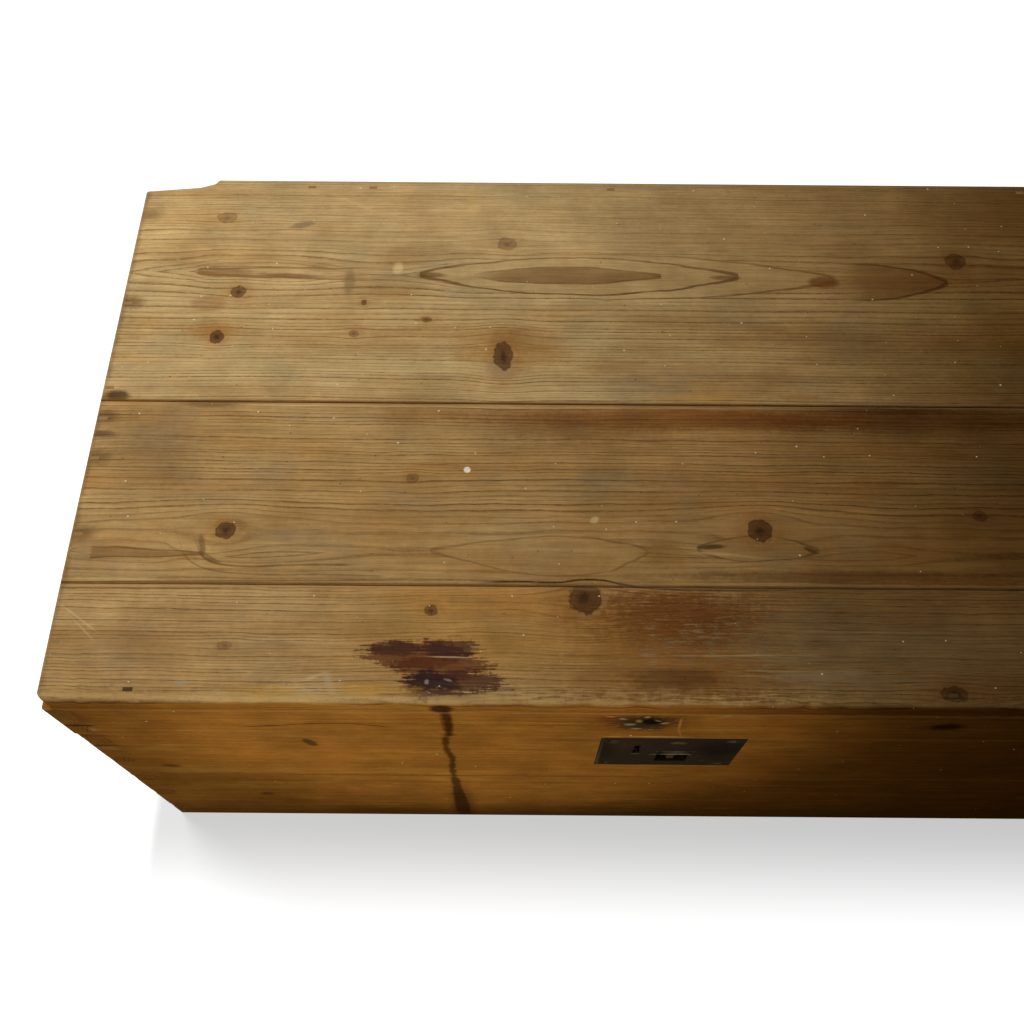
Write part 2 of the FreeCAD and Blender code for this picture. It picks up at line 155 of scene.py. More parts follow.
def scaled(value, factor, offset):
    return maths("MULTIPLY_ADD", value, factor, offset)


def limited(value):
    # Kept from 0 to 1
    value.socket.node.use_clamp = True
    return value


def blendColour(factor, first, second, mode="MIX"):
    node = newNode("Mix", (factor, first, second), (0, 6, 7), data_type="RGBA", blend_type=mode)
    return Value(node.outputs[2])


def smoothStep(value, low, high):
    return Value(newNode("MapRange", (value, low, high), interpolation_type="SMOOTHSTEP").outputs[0])


def fallOff(value, low, high):
    # The other way round: 1 below the low end and 0 above the high end
    return 1.0 - smoothStep(value, low, high)


def joined(x, y, z):
    return Value(newNode("CombineXYZ", (x, y, z)).outputs[0])


def apart(vector):
    return [Value(socket) for socket in newNode("SeparateXYZ", [vector]).outputs]


def cloud(vector, scale, detail=2.0, roughness=0.5):
    # Noise about nought, from -1 to 1
    places = ("Vector", "Scale", "Detail", "Roughness")
    node = newNode("TexNoise", (vector, scale, detail, roughness), places)
    return scaled(Value(node.outputs["Fac"]), 2.0, -1.0)


def curveOver(value, points):
    # A smooth curve through (place, height) points, all from 0 to 1
    node = newNode("FloatCurve", [value], ["Value"])
    curve = node.mapping.curves[0]
    curve.points[0].location = points[0]
    curve.points[1].location = points[-1]
    for place, height in points[1:-1]:
        curve.points.new(place, height)
    node.mapping.update()
    return Value(node.outputs[0])


def newGroup(name, inputs, outputs):
    tree = bpy.data.node_groups.new(name, "ShaderNodeTree")
    for way, titles in (("INPUT", inputs), ("OUTPUT", outputs)):
        for title in titles.split():
            tree.interface.new_socket(name=title, in_out=way, socket_type="NodeSocketFloat")
    given = tree.nodes.new("NodeGroupInput").outputs
    result = tree.nodes.new("NodeGroupOutput").inputs
    return tree, [Value(given[title]) for title in inputs.split()], result


def useGroup(group, **values):
    node = newNode("Group", list(values.values()), list(values), node_tree=group)
    return {socket.name: Value(socket) for socket in node.outputs}


def newMaterial(name):
    material = bpy.data.materials.new(name)
    material.use_nodes = True
    return material, material.node_tree, material.node_tree.nodes["Principled BSDF"]


def addBump(shader, height, strength, distance):
    bump = newNode("Bump", (strength, distance, height), ("Strength", "Distance", "Height"))
    feed(shader.inputs["Normal"], Value(bump.outputs["Normal"]))


# Shader groups for the pine
def makeKnotGroup():
    # Pushes the grain aside round a knot and gives the parts of the knot itself, with Gleam a painted
    # highlight on the lower right of a ring round it
    titles = "Along Across Shift Wobble X Y HalfLong HalfWide Push"
    tree, given, result = newGroup("knot", titles, "Shift Face Rim Heart Halo Gleam")
    along, across, shift, wobble, x, y, halfLong, halfWide, push = given
    acrossOff = across - y
    u = (along - x) / halfLong
    v = acrossOff / halfWide
    uu = u * u
    vv = v * v
    reach = maths("EXPONENT", scaled(uu, -0.08, vv * -0.22))
    feed(result["Shift"], shift - acrossOff * reach * push)
    radius = maths("SQRT", uu + vv) + wobble * 0.45
    feed(result["Face"], fallOff(radius, 0.7, 1.18))
    feed(result["Rim"], fallOff(maths("ABSOLUTE", radius - 1.0), 0.0, 0.22))
    feed(result["Heart"], fallOff(radius, 0.1, 0.6))
    feed(result["Halo"], fallOff(radius, 1.0, 3.0))
    # Gleam: a painted highlight on the lower right of a ring round the knot
    ringGap = maths("ABSOLUTE", radius - 1.35)
    lowerRight = smoothStep(u - v, 0.0, 1.4)
    feed(result["Gleam"], fallOff(ringGap, 0.0, 0.35) * lowerRight)
    return tree


def makeMarkGroup():
    # One stain, scrape or fleck: a turned ellipse with a soft or ragged edge
    titles = "Along Across Ragged X Y HalfLong HalfWide Turn Soft Rough"
    tree, given, result = newGroup("mark", titles, "Mask")
    along, across, ragged, x, y, halfLong, halfWide, turn, soft, rough = given
    alongOff = along - x
    acrossOff = across - y
    cosine = maths("COSINE", turn)
    sine = maths("SINE", turn)
    u = (alongOff * cosine + acrossOff * sine) / halfLong
    v = (acrossOff * cosine - alongOff * sine) / halfWide
    radius = maths("SQRT", u * u + v * v) + ragged * rough
    feed(result["Mask"], fallOff(radius, 1.0 - soft, 1.0 + soft))
    return tree


def makeRingGroup():
    # Growth rings round a pith that lies Depth under the face at Centre across. Figure counts the rings by
    # which the face cuts lower into the log along the middle, where they show as nested points.
    titles = "Across Deep Centre Depth Spacing Figure FigureWidth Wander"
    tree, given, result = newGroup("growthRings", titles, "Late")
    across, deep, centre, depth, spacing, figure, figureWidth, wander = given
    u = across - centre
    d = deep + depth
    radius = maths("SQRT", u * u + d * d)
    nearMiddle = maths("EXPONENT", maths("ABSOLUTE", u) / figureWidth * -1.0)
    count = radius / spacing + wander - figure * nearMiddle
    # Wide and narrow years
    years = cloud(joined(count, 0.0, 0.0), 0.21, 1.0)
    count = count + years * 1.3
    # Pale early wood, then a dark late line
    curve = [(0.0, 0.05), (0.4, 0.08), (0.68, 0.3), (0.87, 1.0), (0.95, 0.85), (1.0, 0.05)]
    late = curveOver(maths("FRACT", count), curve)
    strength = cloud(joined(maths("FLOOR", count), 3.7, 0.0), 0.61, 0.0)
    strength = limited(scaled(strength, 1.1, 0.68))
    strength = limited(scaled(nearMiddle, 0.4, strength))
    feed(result["Late"], late * strength)
    return tree


def makeLensGroup():
    # A year's ring that the face cuts to a pointed shape: its line and what lies inside it. It fades from
    # FadeFrom, where nothing of it shows, to FadeTo.
    titles = "Along Across Ragged Start End Middle Up Down Skew Power Width FadeFrom FadeTo"
    tree, given, result = newGroup("lens", titles, "Line Inside")
    along, across, ragged, start, end, middle, up, down, skew, power, width, fadeFrom, fadeTo = given
    share = limited((along - start) / (end - start))
    bulge = maths("MAXIMUM", maths("SINE", share ** skew * math.pi), 0.0) ** power
    off = across - middle
    above = maths("GREATER_THAN", off, 0.0)
    reach = scaled(above, up - down, down)
    gap = scaled(ragged, 0.6, maths("ABSOLUTE", off) - reach * bulge)
    between = smoothStep(share, 0.0, 0.006) * fallOff(share, 0.994, 1.0)
    seen = between * smoothStep(along, fadeFrom, fadeTo)
    # The line is thicker towards the points
    blunt = 1.0 - bulge
    width = width * scaled(blunt * blunt, 2.0, 1.0)
    feed(result["Line"], fallOff(maths("ABSOLUTE", gap) / width, 0.35, 1.1) * seen)
    feed(result["Inside"], fallOff(gap, -0.6, 0.6) * seen)
    return tree


knotGroup = makeKnotGroup()
lensGroup = makeLensGroup()
markGroup = makeMarkGroup()
ringGroup = makeRingGroup()

# What every board shares. A board's own dictionary changes what differs.
pine = {
    "grainAlong": "x",            # the way the fibres run
    "across": "y",                # the other way over the board's face
    "faceSide": 1,                # which way the face points on the third axis
    "face": 380.0,                # where the face lies on that axis
    "centre": 100.0,              # the line of the pith, across the board
    "depth": 60.0,                # how deep the pith lies under the face
    "figure": [(0.0, 0.1), (1.0, 0.1)],
    "figureRings": 8.0,
    "figureWidth": 12.0,
    "spacing": 2.6,
    "lineStrength": 0.9,
    "early": shade(184, 156, 106),
    "late": shade(120, 88, 48),
    "warm": shade(148, 104, 52),
    "warmShare": 0.55,
    "grey": shade(140, 128, 98),
    "greyShare": 0.45,
    "patchDepth": 0.3,
    "sideEarly": shade(142, 92, 34),
    "sideLate": shade(96, 55, 17),
    "sideYellow": shade(160, 116, 48),
    "insideEarly": shade(176, 136, 84),
    "insideLate": shade(132, 90, 46),
    "faded": None,                # the way that the faded face points, or None
    "inward": None,               # the way that the inside face points
    # a browner patina and painted shade towards the right
    "rightTint": (0.66, 0.53, 0.36, 1.0),
    "rightFrom": 120.0,
    "rightTo": 850.0,
    # painted shade at the right end of the board
    "endPaintedShade": (0.6, 0.56, 0.52, 1.0),
    "endFrom": 520.0,
    "endTo": 800.0,
    "endGrain": shade(122, 90, 54),
    "endGrainLate": shade(78, 54, 30),
    "endGrainShare": 0.55,
    "dash": shade(84, 60, 34),
    "scuffs": 0.45,
    "worn": shade(198, 162, 104),
    "flaked": shade(186, 140, 66),
    "wornWidth": 4.0,
    "wear": 0.3,
    "frontWear": 0.0,
    "leftDirt": 0.0,
    # darker towards the floor, with a painted contact shadow at the foot
    "footDarkening": 0.0,
    "gloss": 0.0,
    "runs": [],
    "lenses": {},
    "speckShare": 1.0,
    "knots": {},
    "marks": {},
    "frontMarks": {},
    "seed": 0.0,
}


def axisOf(parts, letter):
    return parts["xyz".index(letter)]


def addMarks(colour, marks, along, across, ragged):
    for x, y, halfLong, halfWide, turn, soft, rough, tint, strength in marks.values():
        mask = useGroup(markGroup, Along=along, Across=across, Ragged=ragged, X=x, Y=y, HalfLong=halfLong,
                        HalfWide=halfWide, Turn=math.radians(turn), Soft=soft, Rough=rough)["Mask"]
        colour = blendColour(mask * strength, colour, shade(*tint))
    return colour


def nailStain(y, halfWide=6, tint=(96, 68, 38), x=9, halfLong=9, soft=0.7, rough=0.3, strength=0.7):
    # A mark at the left end of the lid
    return x, y, halfLong, halfWide, 0, soft, rough, tint, strength


def boardSpace(tree, look):
    # Where a spot lies in the box, and along, across and under the face of its board, in millimetres
    place = tree.nodes.new("ShaderNodeTexCoord").outputs
    corner = (box["length"] / 2, box["depth"] / 2, 0.0)
    moved = newNode("Mapping", (Value(place["Object"]), corner, (1000.0, 1000.0, 1000.0)),
                    ("Vector", "Location", "Scale"))
    point = Value(moved.outputs["Vector"])
    parts = apart(point)
    facing = apart(Value(place["Normal"]))
    third = [letter for letter in "xyz" if letter not in (look["grainAlong"], look["across"])][0]
    return {
        "point": point,
        "parts": parts,
        "facing": facing,
        "endways": smoothStep(maths("ABSOLUTE", axisOf(facing, look["grainAlong"])), 0.6, 0.9),
        "along": axisOf(parts, look["grainAlong"]),
        "across": axisOf(parts, look["across"]),
        "deep": (look["face"] - axisOf(parts, third)) * look["faceSide"],
        "length": box["length"] if look["grainAlong"] == "x" else box["depth"],
    }


def facesTowards(spot, direction, low=0.5, high=0.8):
    sign = -1.0 if direction.startswith("-") else 1.0
    return smoothStep(axisOf(spot["facing"], direction[-1]) * sign, low, high)


def grainNoise(look, spot, alongScale, acrossScale, seed, detail=3.0, roughness=0.6):
    # Noise drawn out along the fibres
    under = scaled(spot["deep"], acrossScale, look["seed"] * 7.0 + seed)
    drawn = joined(spot["along"] * alongScale, spot["across"] * acrossScale, under)
    return cloud(drawn, 1.0, detail, roughness)


def addGrain(look, spot):
    # The grain wanders along the board and bends round each knot
    slow = grainNoise(look, spot, 0.0035, 0.012, 140.0, 1.0, 0.5)
    quick = grainNoise(look, spot, 0.02, 0.09, 160.0, 2.0, 0.5)
    shift = scaled(slow, 5.0, quick * 0.8)
    wobble = cloud(spot["point"], 0.16, 3.0, 0.6)
    spot["knots"] = {"Face": 0.0, "Rim": 0.0, "Heart": 0.0, "Halo": 0.0, "Gleam": 0.0}
    for x, y, halfLong, halfWide, push, strength in look["knots"].values():
        out = useGroup(knotGroup, Along=spot["along"], Across=spot["across"], Shift=shift, Wobble=wobble,
                       X=x, Y=y, HalfLong=halfLong, HalfWide=halfWide, Push=push)
        shift = out["Shift"]
        for part, before in spot["knots"].items():
            spot["knots"][part] = maths("MAXIMUM", before, out[part] * strength)
    figure = curveOver(spot["along"] / spot["length"], look["figure"]) * look["figureRings"]
    rings = useGroup(ringGroup, Across=spot["across"] + shift, Deep=spot["deep"], Centre=look["centre"],
                     Depth=look["depth"], Spacing=look["spacing"], Figure=figure,
                     FigureWidth=look["figureWidth"], Wander=quick * 0.3)
    spot["wavy"] = scaled(quick, 3.2, spot["across"])
    grit = grainNoise(look, spot, 0.14, 0.9, 180.0, 4.0, 0.75)
    spot["late"] = limited(rings["Late"] * scaled(grit, 1.6, look["lineStrength"]))
    spot["fibre"] = grainNoise(look, spot, 0.02, 0.75, 0.0, 4.0, 0.65)
    spot["streak"] = grainNoise(look, spot, 0.006, 0.16, 20.0)
    spot["crumbs"] = cloud(spot["point"], 0.22, 4.0, 0.7)
    spot["ragged"] = scaled(spot["crumbs"], 0.55, grainNoise(look, spot, 0.05, 0.6, 40.0))
    spot["blotch"] = cloud(spot["point"], 0.03, 5.0, 0.6)


def fadedColour(look, spot):
    # The top has gone grey and yellow, with warmer and greyer patches
    colour = blendColour(spot["late"], look["early"], look["late"])
    warmth = grainNoise(look, spot, 0.007, 0.03, 60.0, 4.0, 0.6)
    colour = blendColour(smoothStep(warmth, -0.3, 0.4) * look["warmShare"], colour, look["warm"])
    greyness = grainNoise(look, spot, 0.012, 0.02, 80.0, 4.0, 0.6)
    return blendColour(smoothStep(greyness, -0.05, 0.55) * look["greyShare"], colour, look["grey"])


def clearLenses(look, spot):
    # Inside a pointed ring the wood is plain, so its own lines fade there
    titles = "Start End Middle Up Down Skew Power Width FadeFrom FadeTo".split()
    spot["lenses"] = []
    for form, clear, line, lineShare, fill, fillShare in look["lenses"].values():
        out = useGroup(lensGroup, Along=spot["along"], Across=spot["wavy"], Ragged=spot["ragged"],
                       **dict(zip(titles, form)))
        spot["late"] = spot["late"] * scaled(out["Inside"], -clear, 1.0)
        spot["lenses"].append((out, line, lineShare, fill, fillShare))


def addLenses(spot, colour):
    for out, line, lineShare, fill, fillShare in spot["lenses"]:
        colour = blendColour(out["Inside"] * fillShare, colour, shade(*fill))
        broken = limited(scaled(spot["ragged"], 0.35, lineShare))
        colour = blendColour(out["Line"] * broken, colour, shade(*line))
    return colour


def knotColour(spot, colour):
    tints = {
        "Halo": (0.4, (140, 90, 38)),
        "Gleam": (0.25, (160, 140, 100)),
        "Face": (0.88, (88, 58, 34)),
        "Heart": (0.7, (50, 34, 22)),
        "Rim": (0.7, (56, 38, 22)),
    }
    for part, (share, tint) in tints.items():
        colour = blendColour(spot["knots"][part] * share, colour, shade(*tint))
    return colour


def addTone(look, spot, colour):
    # Short dark dashes and pale scuffs along the grain, then light and dark over the whole, then a browner
    # patina with painted shade towards the right and painted shade at the right end
    dashes = grainNoise(look, spot, 0.09, 0.5, 100.0, 2.0, 0.5)
    colour = blendColour(smoothStep(dashes, 0.4, 0.66) * 0.6, colour, look["dash"])
    scuffs = grainNoise(look, spot, 0.03, 0.6, 120.0, 4.0, 0.75)
    colour = blendColour(smoothStep(scuffs, 0.3, 0.6) * look["scuffs"], colour, look["worn"])
    tone = scaled(spot["fibre"], 0.46, 1.0)
    for part, depth in (("crumbs", 0.16), ("streak", 0.28), ("blotch", 0.3)):
        tone = tone * scaled(spot[part], depth, 1.0)
    patches = cloud(spot["point"], 0.011, 4.0, 0.6)
    tone = tone * scaled(patches, look["patchDepth"], 1.04)
    toned = newNode("VectorMath", (colour, tone), (0, "Scale"), operation="SCALE")
    x = spot["parts"][0]
    # A browner patina and painted shade towards the right
    rightwards = smoothStep(x, look["rightFrom"], look["rightTo"])
    colour = blendColour(rightwards, Value(toned.outputs["Vector"]), look["rightTint"], "MULTIPLY")
    # Painted shade over the right end, starting at an uneven place
    paintedShadeAtEnd = smoothStep(scaled(patches, 160.0, x), look["endFrom"], look["endTo"])
    return blendColour(paintedShadeAtEnd, colour, look["endPaintedShade"], "MULTIPLY")


def addSpecks(look, spot, colour):
    # Small dark pits and pale flecks of paint
    flat = joined(spot["along"], spot["across"], 0.0)
    kinds = {
        "pits": (0.04, 0.35, (48, 33, 19), 0.6),
        "paint": (0.033, 0.4, (228, 214, 180), 0.75),
    }
    for scale, seenShare, tint, size in kinds.values():
        dots = newNode("TexVoronoi", (flat, scale), ("Vector", "Scale"), voronoi_dimensions="2D")
        red, green, blue = apart(Value(dots.outputs["Color"]))
        reach = scaled(green, size * scale, 0.4 * size * scale)
        dot = fallOff(Value(dots.outputs["Distance"]) / reach, 0.4, 1.0)
        dot = dot * maths("LESS_THAN", red, seenShare * look["speckShare"]) * (1.0 - spot["endways"])
        colour = blendColour(dot * 0.8, colour, shade(*tint))
    return colour


def addDirtAndFootShade(look, spot, colour):
    # Dirt on the arris at the lid's left end; darker towards the floor, and a painted contact shadow along
    # the foot
    x, y, z = spot["parts"]
    if look["leftDirt"]:
        mask = fallOff(scaled(spot["blotch"], 6.0, x), 0.5, 6.5)
        colour = blendColour(mask * look["leftDirt"], colour, shade(92, 68, 42))
    if look["footDarkening"]:
        mask = fallOff(scaled(spot["streak"], 25.0, z), 0.0, 70.0)
        colour = blendColour(mask * look["footDarkening"], colour, shade(64, 42, 18))
        # A painted contact shadow where the board meets the floor
        paintedContactShadow = fallOff(scaled(spot["ragged"], 2.0, z), 0.5, 4.0)
        colour = blendColour(paintedContactShadow * 0.6, colour, shade(40, 26, 12))
    return colour


def pineMaterial(name, nodeName, own):
    look = dict(pine, **own)
    material, tree, shader = newMaterial(name)
    spot = boardSpace(tree, look)
    addGrain(look, spot)
    clearLenses(look, spot)

    yellow = smoothStep(grainNoise(look, spot, 0.008, 0.035, 200.0, 4.0, 0.65), -0.05, 0.45)
    side = blendColour(yellow * 0.6, look["sideEarly"], look["sideYellow"])
    colour = blendColour(spot["late"], side, look["sideLate"])
    colour = addMarks(colour, look["frontMarks"], spot["parts"][0], spot["parts"][2], spot["ragged"])
    face = addLenses(spot, fadedColour(look, spot)) if look["faded"] else colour
    face = addMarks(face, look["marks"], spot["along"], spot["across"], spot["ragged"])
    colour = blendColour(facesTowards(spot, look["faded"]), colour, face) if look["faded"] else face
    for run in look["runs"]:
        colour = addRun(run, spot, colour)
    colour = knotColour(spot, colour)
    if look["inward"]:
        inside = blendColour(spot["late"], look["insideEarly"], look["insideLate"])
        colour = blendColour(facesTowards(spot, look["inward"], 0.93, 0.99), colour, inside)
    colour = addTone(look, spot, colour)
    colour = addSpecks(look, spot, colour)
    colour = addDirtAndFootShade(look, spot, colour)
    if look["frontWear"]:
        colour = addFrontWear(look, spot, colour)
    ends = blendColour(smoothStep(spot["streak"], -0.4, 0.5), look["endGrain"], look["endGrainLate"])
    colour = blendColour(spot["endways"] * look["endGrainShare"], colour, ends)
    worn = wornEdge(spot, boxOf(nodeName), look["wornWidth"])
    feed(shader.inputs["Base Color"], blendColour(worn * look["wear"], colour, look["worn"]))

    rough = scaled(spot["late"], -0.08, scaled(spot["fibre"], 0.08, 0.6))
    feed(shader.inputs["Roughness"], limited(scaled(worn, 0.15, rough)))
    shader.inputs["Specular IOR Level"].default_value = look["gloss"]
    height = scaled(spot["blotch"], 0.5, scaled(spot["fibre"], 0.6, spot["late"] * 0.5))
    addBump(shader, height, 0.8, 0.0005)
    return material


# Long thin marks. Each follows its own path: a share of the way from its start to its end, and where the
# middle of the mark lies there, in millimetres.
dripPath = {
    "lengthwise": "z",
    "sideways": "x",
    "ends": (0, 380),
    "limits": (270, 300),
    "path": [(0, 288), (0.15, 286.5), (0.37, 285), (0.5, 284), (0.6, 285.5), (0.68, 282.5), (0.76, 283),
             (0.8, 286.5), (0.95, 286.5), (1, 284)],
    "halfWidth": 2.6,
    "swelling": 3.0,
    "soft": 1.6,
    "ragged": 3.2,
    "footWidth": 4.2,
    "tint": (48, 27, 10),
    "strength": 0.78,
    "facing": "-y",
}
veinPath = {
    "lengthwise": "x",
    "sideways": "z",
    "ends": (132, 244),
    "limits": (310, 335),
    "path": [(0, 318.5), (0.2, 322.5), (0.45, 328), (0.65, 330), (0.82, 327.5), (1, 318)],
    "halfWidth": 0.9,
    "swelling": 0.7,
    "soft": 0.7,
    "tint": (74, 38, 24),
    "strength": 0.85,
    "facing": "-y",
}
jointCrack = dict(veinPath, **{
    "sideways": "y",
    "ends": (310, 560),
    "limits": (84, 98),
    "path": [(0, 92.5), (0.12, 93.5), (0.22, 93), (0.32, 95.5), (0.42, 92), (0.55, 88.5), (0.75, 88),
             (1, 90)],
    "halfWidth": 0.7,
    "tint": (34, 22, 12),
    "strength": 0.92,
    "facing": "z",
})
hookPath = dict(jointCrack, **{
    "ends": (94, 215),
    "limits": (100, 132),
    "path": [(0, 129), (0.03, 120), (0.08, 111), (0.16, 106.5), (0.35, 104), (0.6, 105.5), (1, 106)],
    "halfWidth": 0.8,
    "swelling": 0.8,
    "soft": 0.8,
    "tint": (82, 58, 34),
    "strength": 0.65,
})
outerHookPath = dict(hookPath, **{
    "ends": (78, 240),
    "limits": (92, 140),
    "path": [(0, 138), (0.04, 122), (0.1, 108), (0.2, 101), (0.45, 97.5), (0.7, 98), (1, 97)],
    "halfWidth": 0.5,
    "strength": 0.55,
})


def addRun(run, spot, colour):
    lengthwise = axisOf(spot["parts"], run["lengthwise"])
    sideways = axisOf(spot["parts"], run["sideways"])
    first, last = run["ends"]
    low, high = run["limits"]
    points = [(share, (middle - low) / (high - low)) for share, middle in run["path"]]
    share = (lengthwise - first) / (last - first)
    middle = scaled(curveOver(share, points), high - low, low)
    swell = cloud(joined(0.0, 7.0, lengthwise * 0.05), 1.0, 3.0, 0.6)
    width = scaled(swell, run["swelling"], run["halfWidth"])
    gap = scaled(spot["ragged"], run.get("ragged", 0.0), maths("ABSOLUTE", sideways - middle))
    if "footWidth" in run:
        width = scaled(fallOff(lengthwise, 30.0, 200.0), run["footWidth"], width)
    mask = fallOff(gap - width, -run["soft"], run["soft"])
    # It thins out at both ends
    ends = smoothStep(share, -0.03, 0.08) * fallOff(share, 0.93, 1.02)
    mask = mask * ends * facesTowards(spot, run["facing"])
    return blendColour(mask * run["strength"], colour, shade(*run["tint"]))


# How far back or down the wear at the front of the lid reaches, and where along it the wear changes
frontRub = {
    "face": (1.5, 5.5),
    "line": (3.5, 7.0),
    "flakes": (8.0, 15.0),
    "chips": (8.0, 16.0),
    "lineFades": (260.0, 480.0),
    # where the pale chips fade out to the right, as painted shade
    "chipsFadeIntoPaintedShade": (500.0, 590.0),
    "gapsGrow": (250.0, 400.0),
    "chipShade": shade(172, 144, 90),
    "gapShade": shade(78, 54, 28),
}


def addFrontWear(look, spot, colour):
    # The lid's front arris is rubbed to pale wood, and behind it the old finish has flaked off in patches
    x, y, z = spot["parts"]
    ragged = spot["ragged"]
    patchy = cloud(joined(x * 0.02, y * 0.12, 5.0), 1.0, 4.0, 0.65)
    onFace = fallOff(scaled(ragged, 1.5, box["height"] - z), *frontRub["face"])
    back = scaled(ragged, 2.5, y)
    fading = scaled(smoothStep(x, *frontRub["lineFades"]), -0.85, 1.0)
    broken = scaled(smoothStep(spot["crumbs"], -0.45, 0.05), 0.6, 0.4)
    rubbed = limited(scaled(patchy, 0.8, look["frontWear"]))
    line = fallOff(back, *frontRub["line"]) * onFace * rubbed * fading * broken
    wornTone = blendColour(smoothStep(ragged, -0.1, 0.5), look["worn"], look["flaked"])
    colour = blendColour(line, colour, wornTone)
    flaked = smoothStep(patchy, 0.12, 0.3) * fallOff(back, *frontRub["flakes"]) * onFace * fading
    colour = blendColour(flaked * 0.55, colour, look["flaked"])
    # Small chips and the dark gaps between them
    strip = fallOff(back, *frontRub["chips"]) * onFace
    # The chips fade out to the right: painted shade
    strip = strip * scaled(smoothStep(x, *frontRub["chipsFadeIntoPaintedShade"]), -0.85, 1.0)
    chips = smoothStep(ragged, 0.0, 0.28) * strip
    colour = blendColour(chips * 0.6, colour, frontRub["chipShade"])
    gaps = fallOff(ragged, -0.4, -0.06) * strip
    gaps = gaps * scaled(smoothStep(x, *frontRub["gapsGrow"]), 0.75, 0.25)
    return blendColour(gaps * 0.55, colour, frontRub["gapShade"])


def wornEdge(spot, limits, width):
    # How near a spot lies to an arris of the board's own box: the middle one of three distances
    first, second, third = [maths("MINIMUM", part - low, high - part)
                            for part, (low, high) in zip(spot["parts"], limits)]
    smaller = maths("MINIMUM", first, second)
    larger = maths("MAXIMUM", first, second)
    middle = maths("MAXIMUM", smaller, maths("MINIMUM", larger, third))
    return fallOff(middle / width + spot["ragged"] * 0.9, 0.25, 0.9)


# Modelling helpers
def addObject(name, data):
    made = bpy.data.objects.new(name, data)
    bpy.context.scene.collection.objects.link(made)
    return made


def selectOnly(*pieces):
    bpy.ops.object.select_all(action="DESELECT")
    for piece in pieces:
        piece.select_set(True)
    bpy.context.view_layer.objects.active = pieces[0]


def startEdit(piece):
    selectOnly(piece)
    bpy.ops.object.mode_set(mode="EDIT")
    bpy.ops.mesh.select_all(action="SELECT")


def endEdit():
    bpy.ops.object.mode_set(mode="OBJECT")


def applyAll(piece):
    bpy.context.view_layer.objects.active = piece
    for modifier in list(piece.modifiers):
        bpy.ops.object.modifier_apply(modifier=modifier.name)


def camelName(nodeName):
    first, *others = nodeName.split("_")
    return first + "".join([word.title() for word in others])


def copyOfNode(nodeName):
    # A copy of a node's mesh, with its loose triangles merged into whole faces
    piece = addObject(camelName(nodeName), nodes[nodeName].data.copy())
    startEdit(piece)
    bpy.ops.mesh.remove_doubles(threshold=0.00001)
    bpy.ops.mesh.dissolve_limited(angle_limit=math.radians(1))
    endEdit()
    return piece


softening = {
    "segments": 2,
    "fromAngle": 35,
    "smoothAngle": 40,
    "crispAngle": 20,
}


def softenEdges(piece, width, evenly=True):
    bevel = piece.modifiers.new("arris", "BEVEL")
    bevel.width = width
    bevel.segments = softening["segments"]
    bevel.limit_method = "ANGLE"
    bevel.angle_limit = math.radians(softening["fromAngle"])
    bevel.use_clamp_overlap = True
    applyAll(piece)
    selectOnly(piece)
    angle = softening["smoothAngle" if evenly else "crispAngle"]
    bpy.ops.object.shade_smooth_by_angle(angle=math.radians(angle))
    if evenly:
        weighted = piece.modifiers.new("even", "WEIGHTED_NORMAL")
        weighted.keep_sharp = True
        applyAll(piece)


def keepInBox(piece):
    # A softened arris can swell by a hair, so every corner stays inside the whole box
    low, high = cadBox
    for vertex in piece.data.vertices:
        for i in range(3):
            vertex.co[i] = min(max(vertex.co[i], low[i]), high[i])


def finishPiece(piece, nodeName, material):
    keepInBox(piece)
    piece.data.materials.clear()
    piece.data.materials.append(material)
    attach(piece, nodes[nodeName]["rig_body"])
    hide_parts(nodeName)


# Camera at the photograph's place
camera = {
    "place": (-0.1268, -0.4620, 1.0947),
    "tilt": 27.26,
    "roll": 0.45,
    "lens": 37.03,
}


def addCamera():
    data = bpy.data.cameras.new("camera")
    data.lens = camera["lens"]
    data.sensor_width = 36.0
    data.sensor_fit = "HORIZONTAL"
    data.clip_start = 0.01
    data.clip_end = 50.0
    eye = addObject("camera", data)
    tilt = Matrix.Rotation(math.radians(camera["tilt"]), 3, "X")
    roll = Matrix.Rotation(math.radians(camera["roll"]), 3, "Z")
    eye.rotation_euler = (tilt @ roll).to_euler()
    eye.location = camera["place"]
    bpy.context.scene.camera = eye


# Studio
studio = {
    "floorSize": 12.0,
    "floorShade": shade(176, 176, 176),
    "seenShade": shade(150, 150, 150),
    # the glow next to the box is dimmed as a painted shadow, which fades out over this width
    "nearLight": 0.535,
    "farLight": 1.0,
    "paintedShadowWidth": 0.125,
    "paintedShadowSideSteepness": 7.0,
    "worldLight": 0.16,
}
lamps = {
    # A soft-edged round light on the left of the front
    "front": {"place": (-0.45, -1.55, 0.34), "aim": (-0.155, -0.245, 0.297), "size": 0.06, "power": 34.0,
              "angle": 22.2, "blend": 0.25},
    "key": {"place": (-0.95, 0.4, 1.35), "aim": (-0.15, 0.0, 0.3), "size": 0.7, "power": 15.0},
    "fill": {"place": (-0.95, -0.9, 0.62), "aim": (-0.3, -0.245, 0.2), "size": 0.5, "power": 3.0},
}


def showByRay(tree, light, seen, end):
    # The camera and mirrors see one shader, and light meets the other
    rays = tree.nodes.new("ShaderNodeLightPath").outputs
    direct = limited(Value(rays["Is Camera Ray"]) + Value(rays["Is Glossy Ray"]))
    direct = limited(direct + Value(rays["Is Transmission Ray"]))
    mixed = newNode("MixShader", (direct, Value(light.outputs[0]), Value(seen.outputs[0])))
    feed(tree.nodes.new(end).inputs["Surface"], Value(mixed.outputs[0]))


def newShader(tree, kind, colour, strength=None):
    node = tree.nodes.new("ShaderNode" + kind)
    node.inputs["Color"].default_value = colour
    if strength is not None:
        feed(node.inputs["Strength"], strength)
    return node


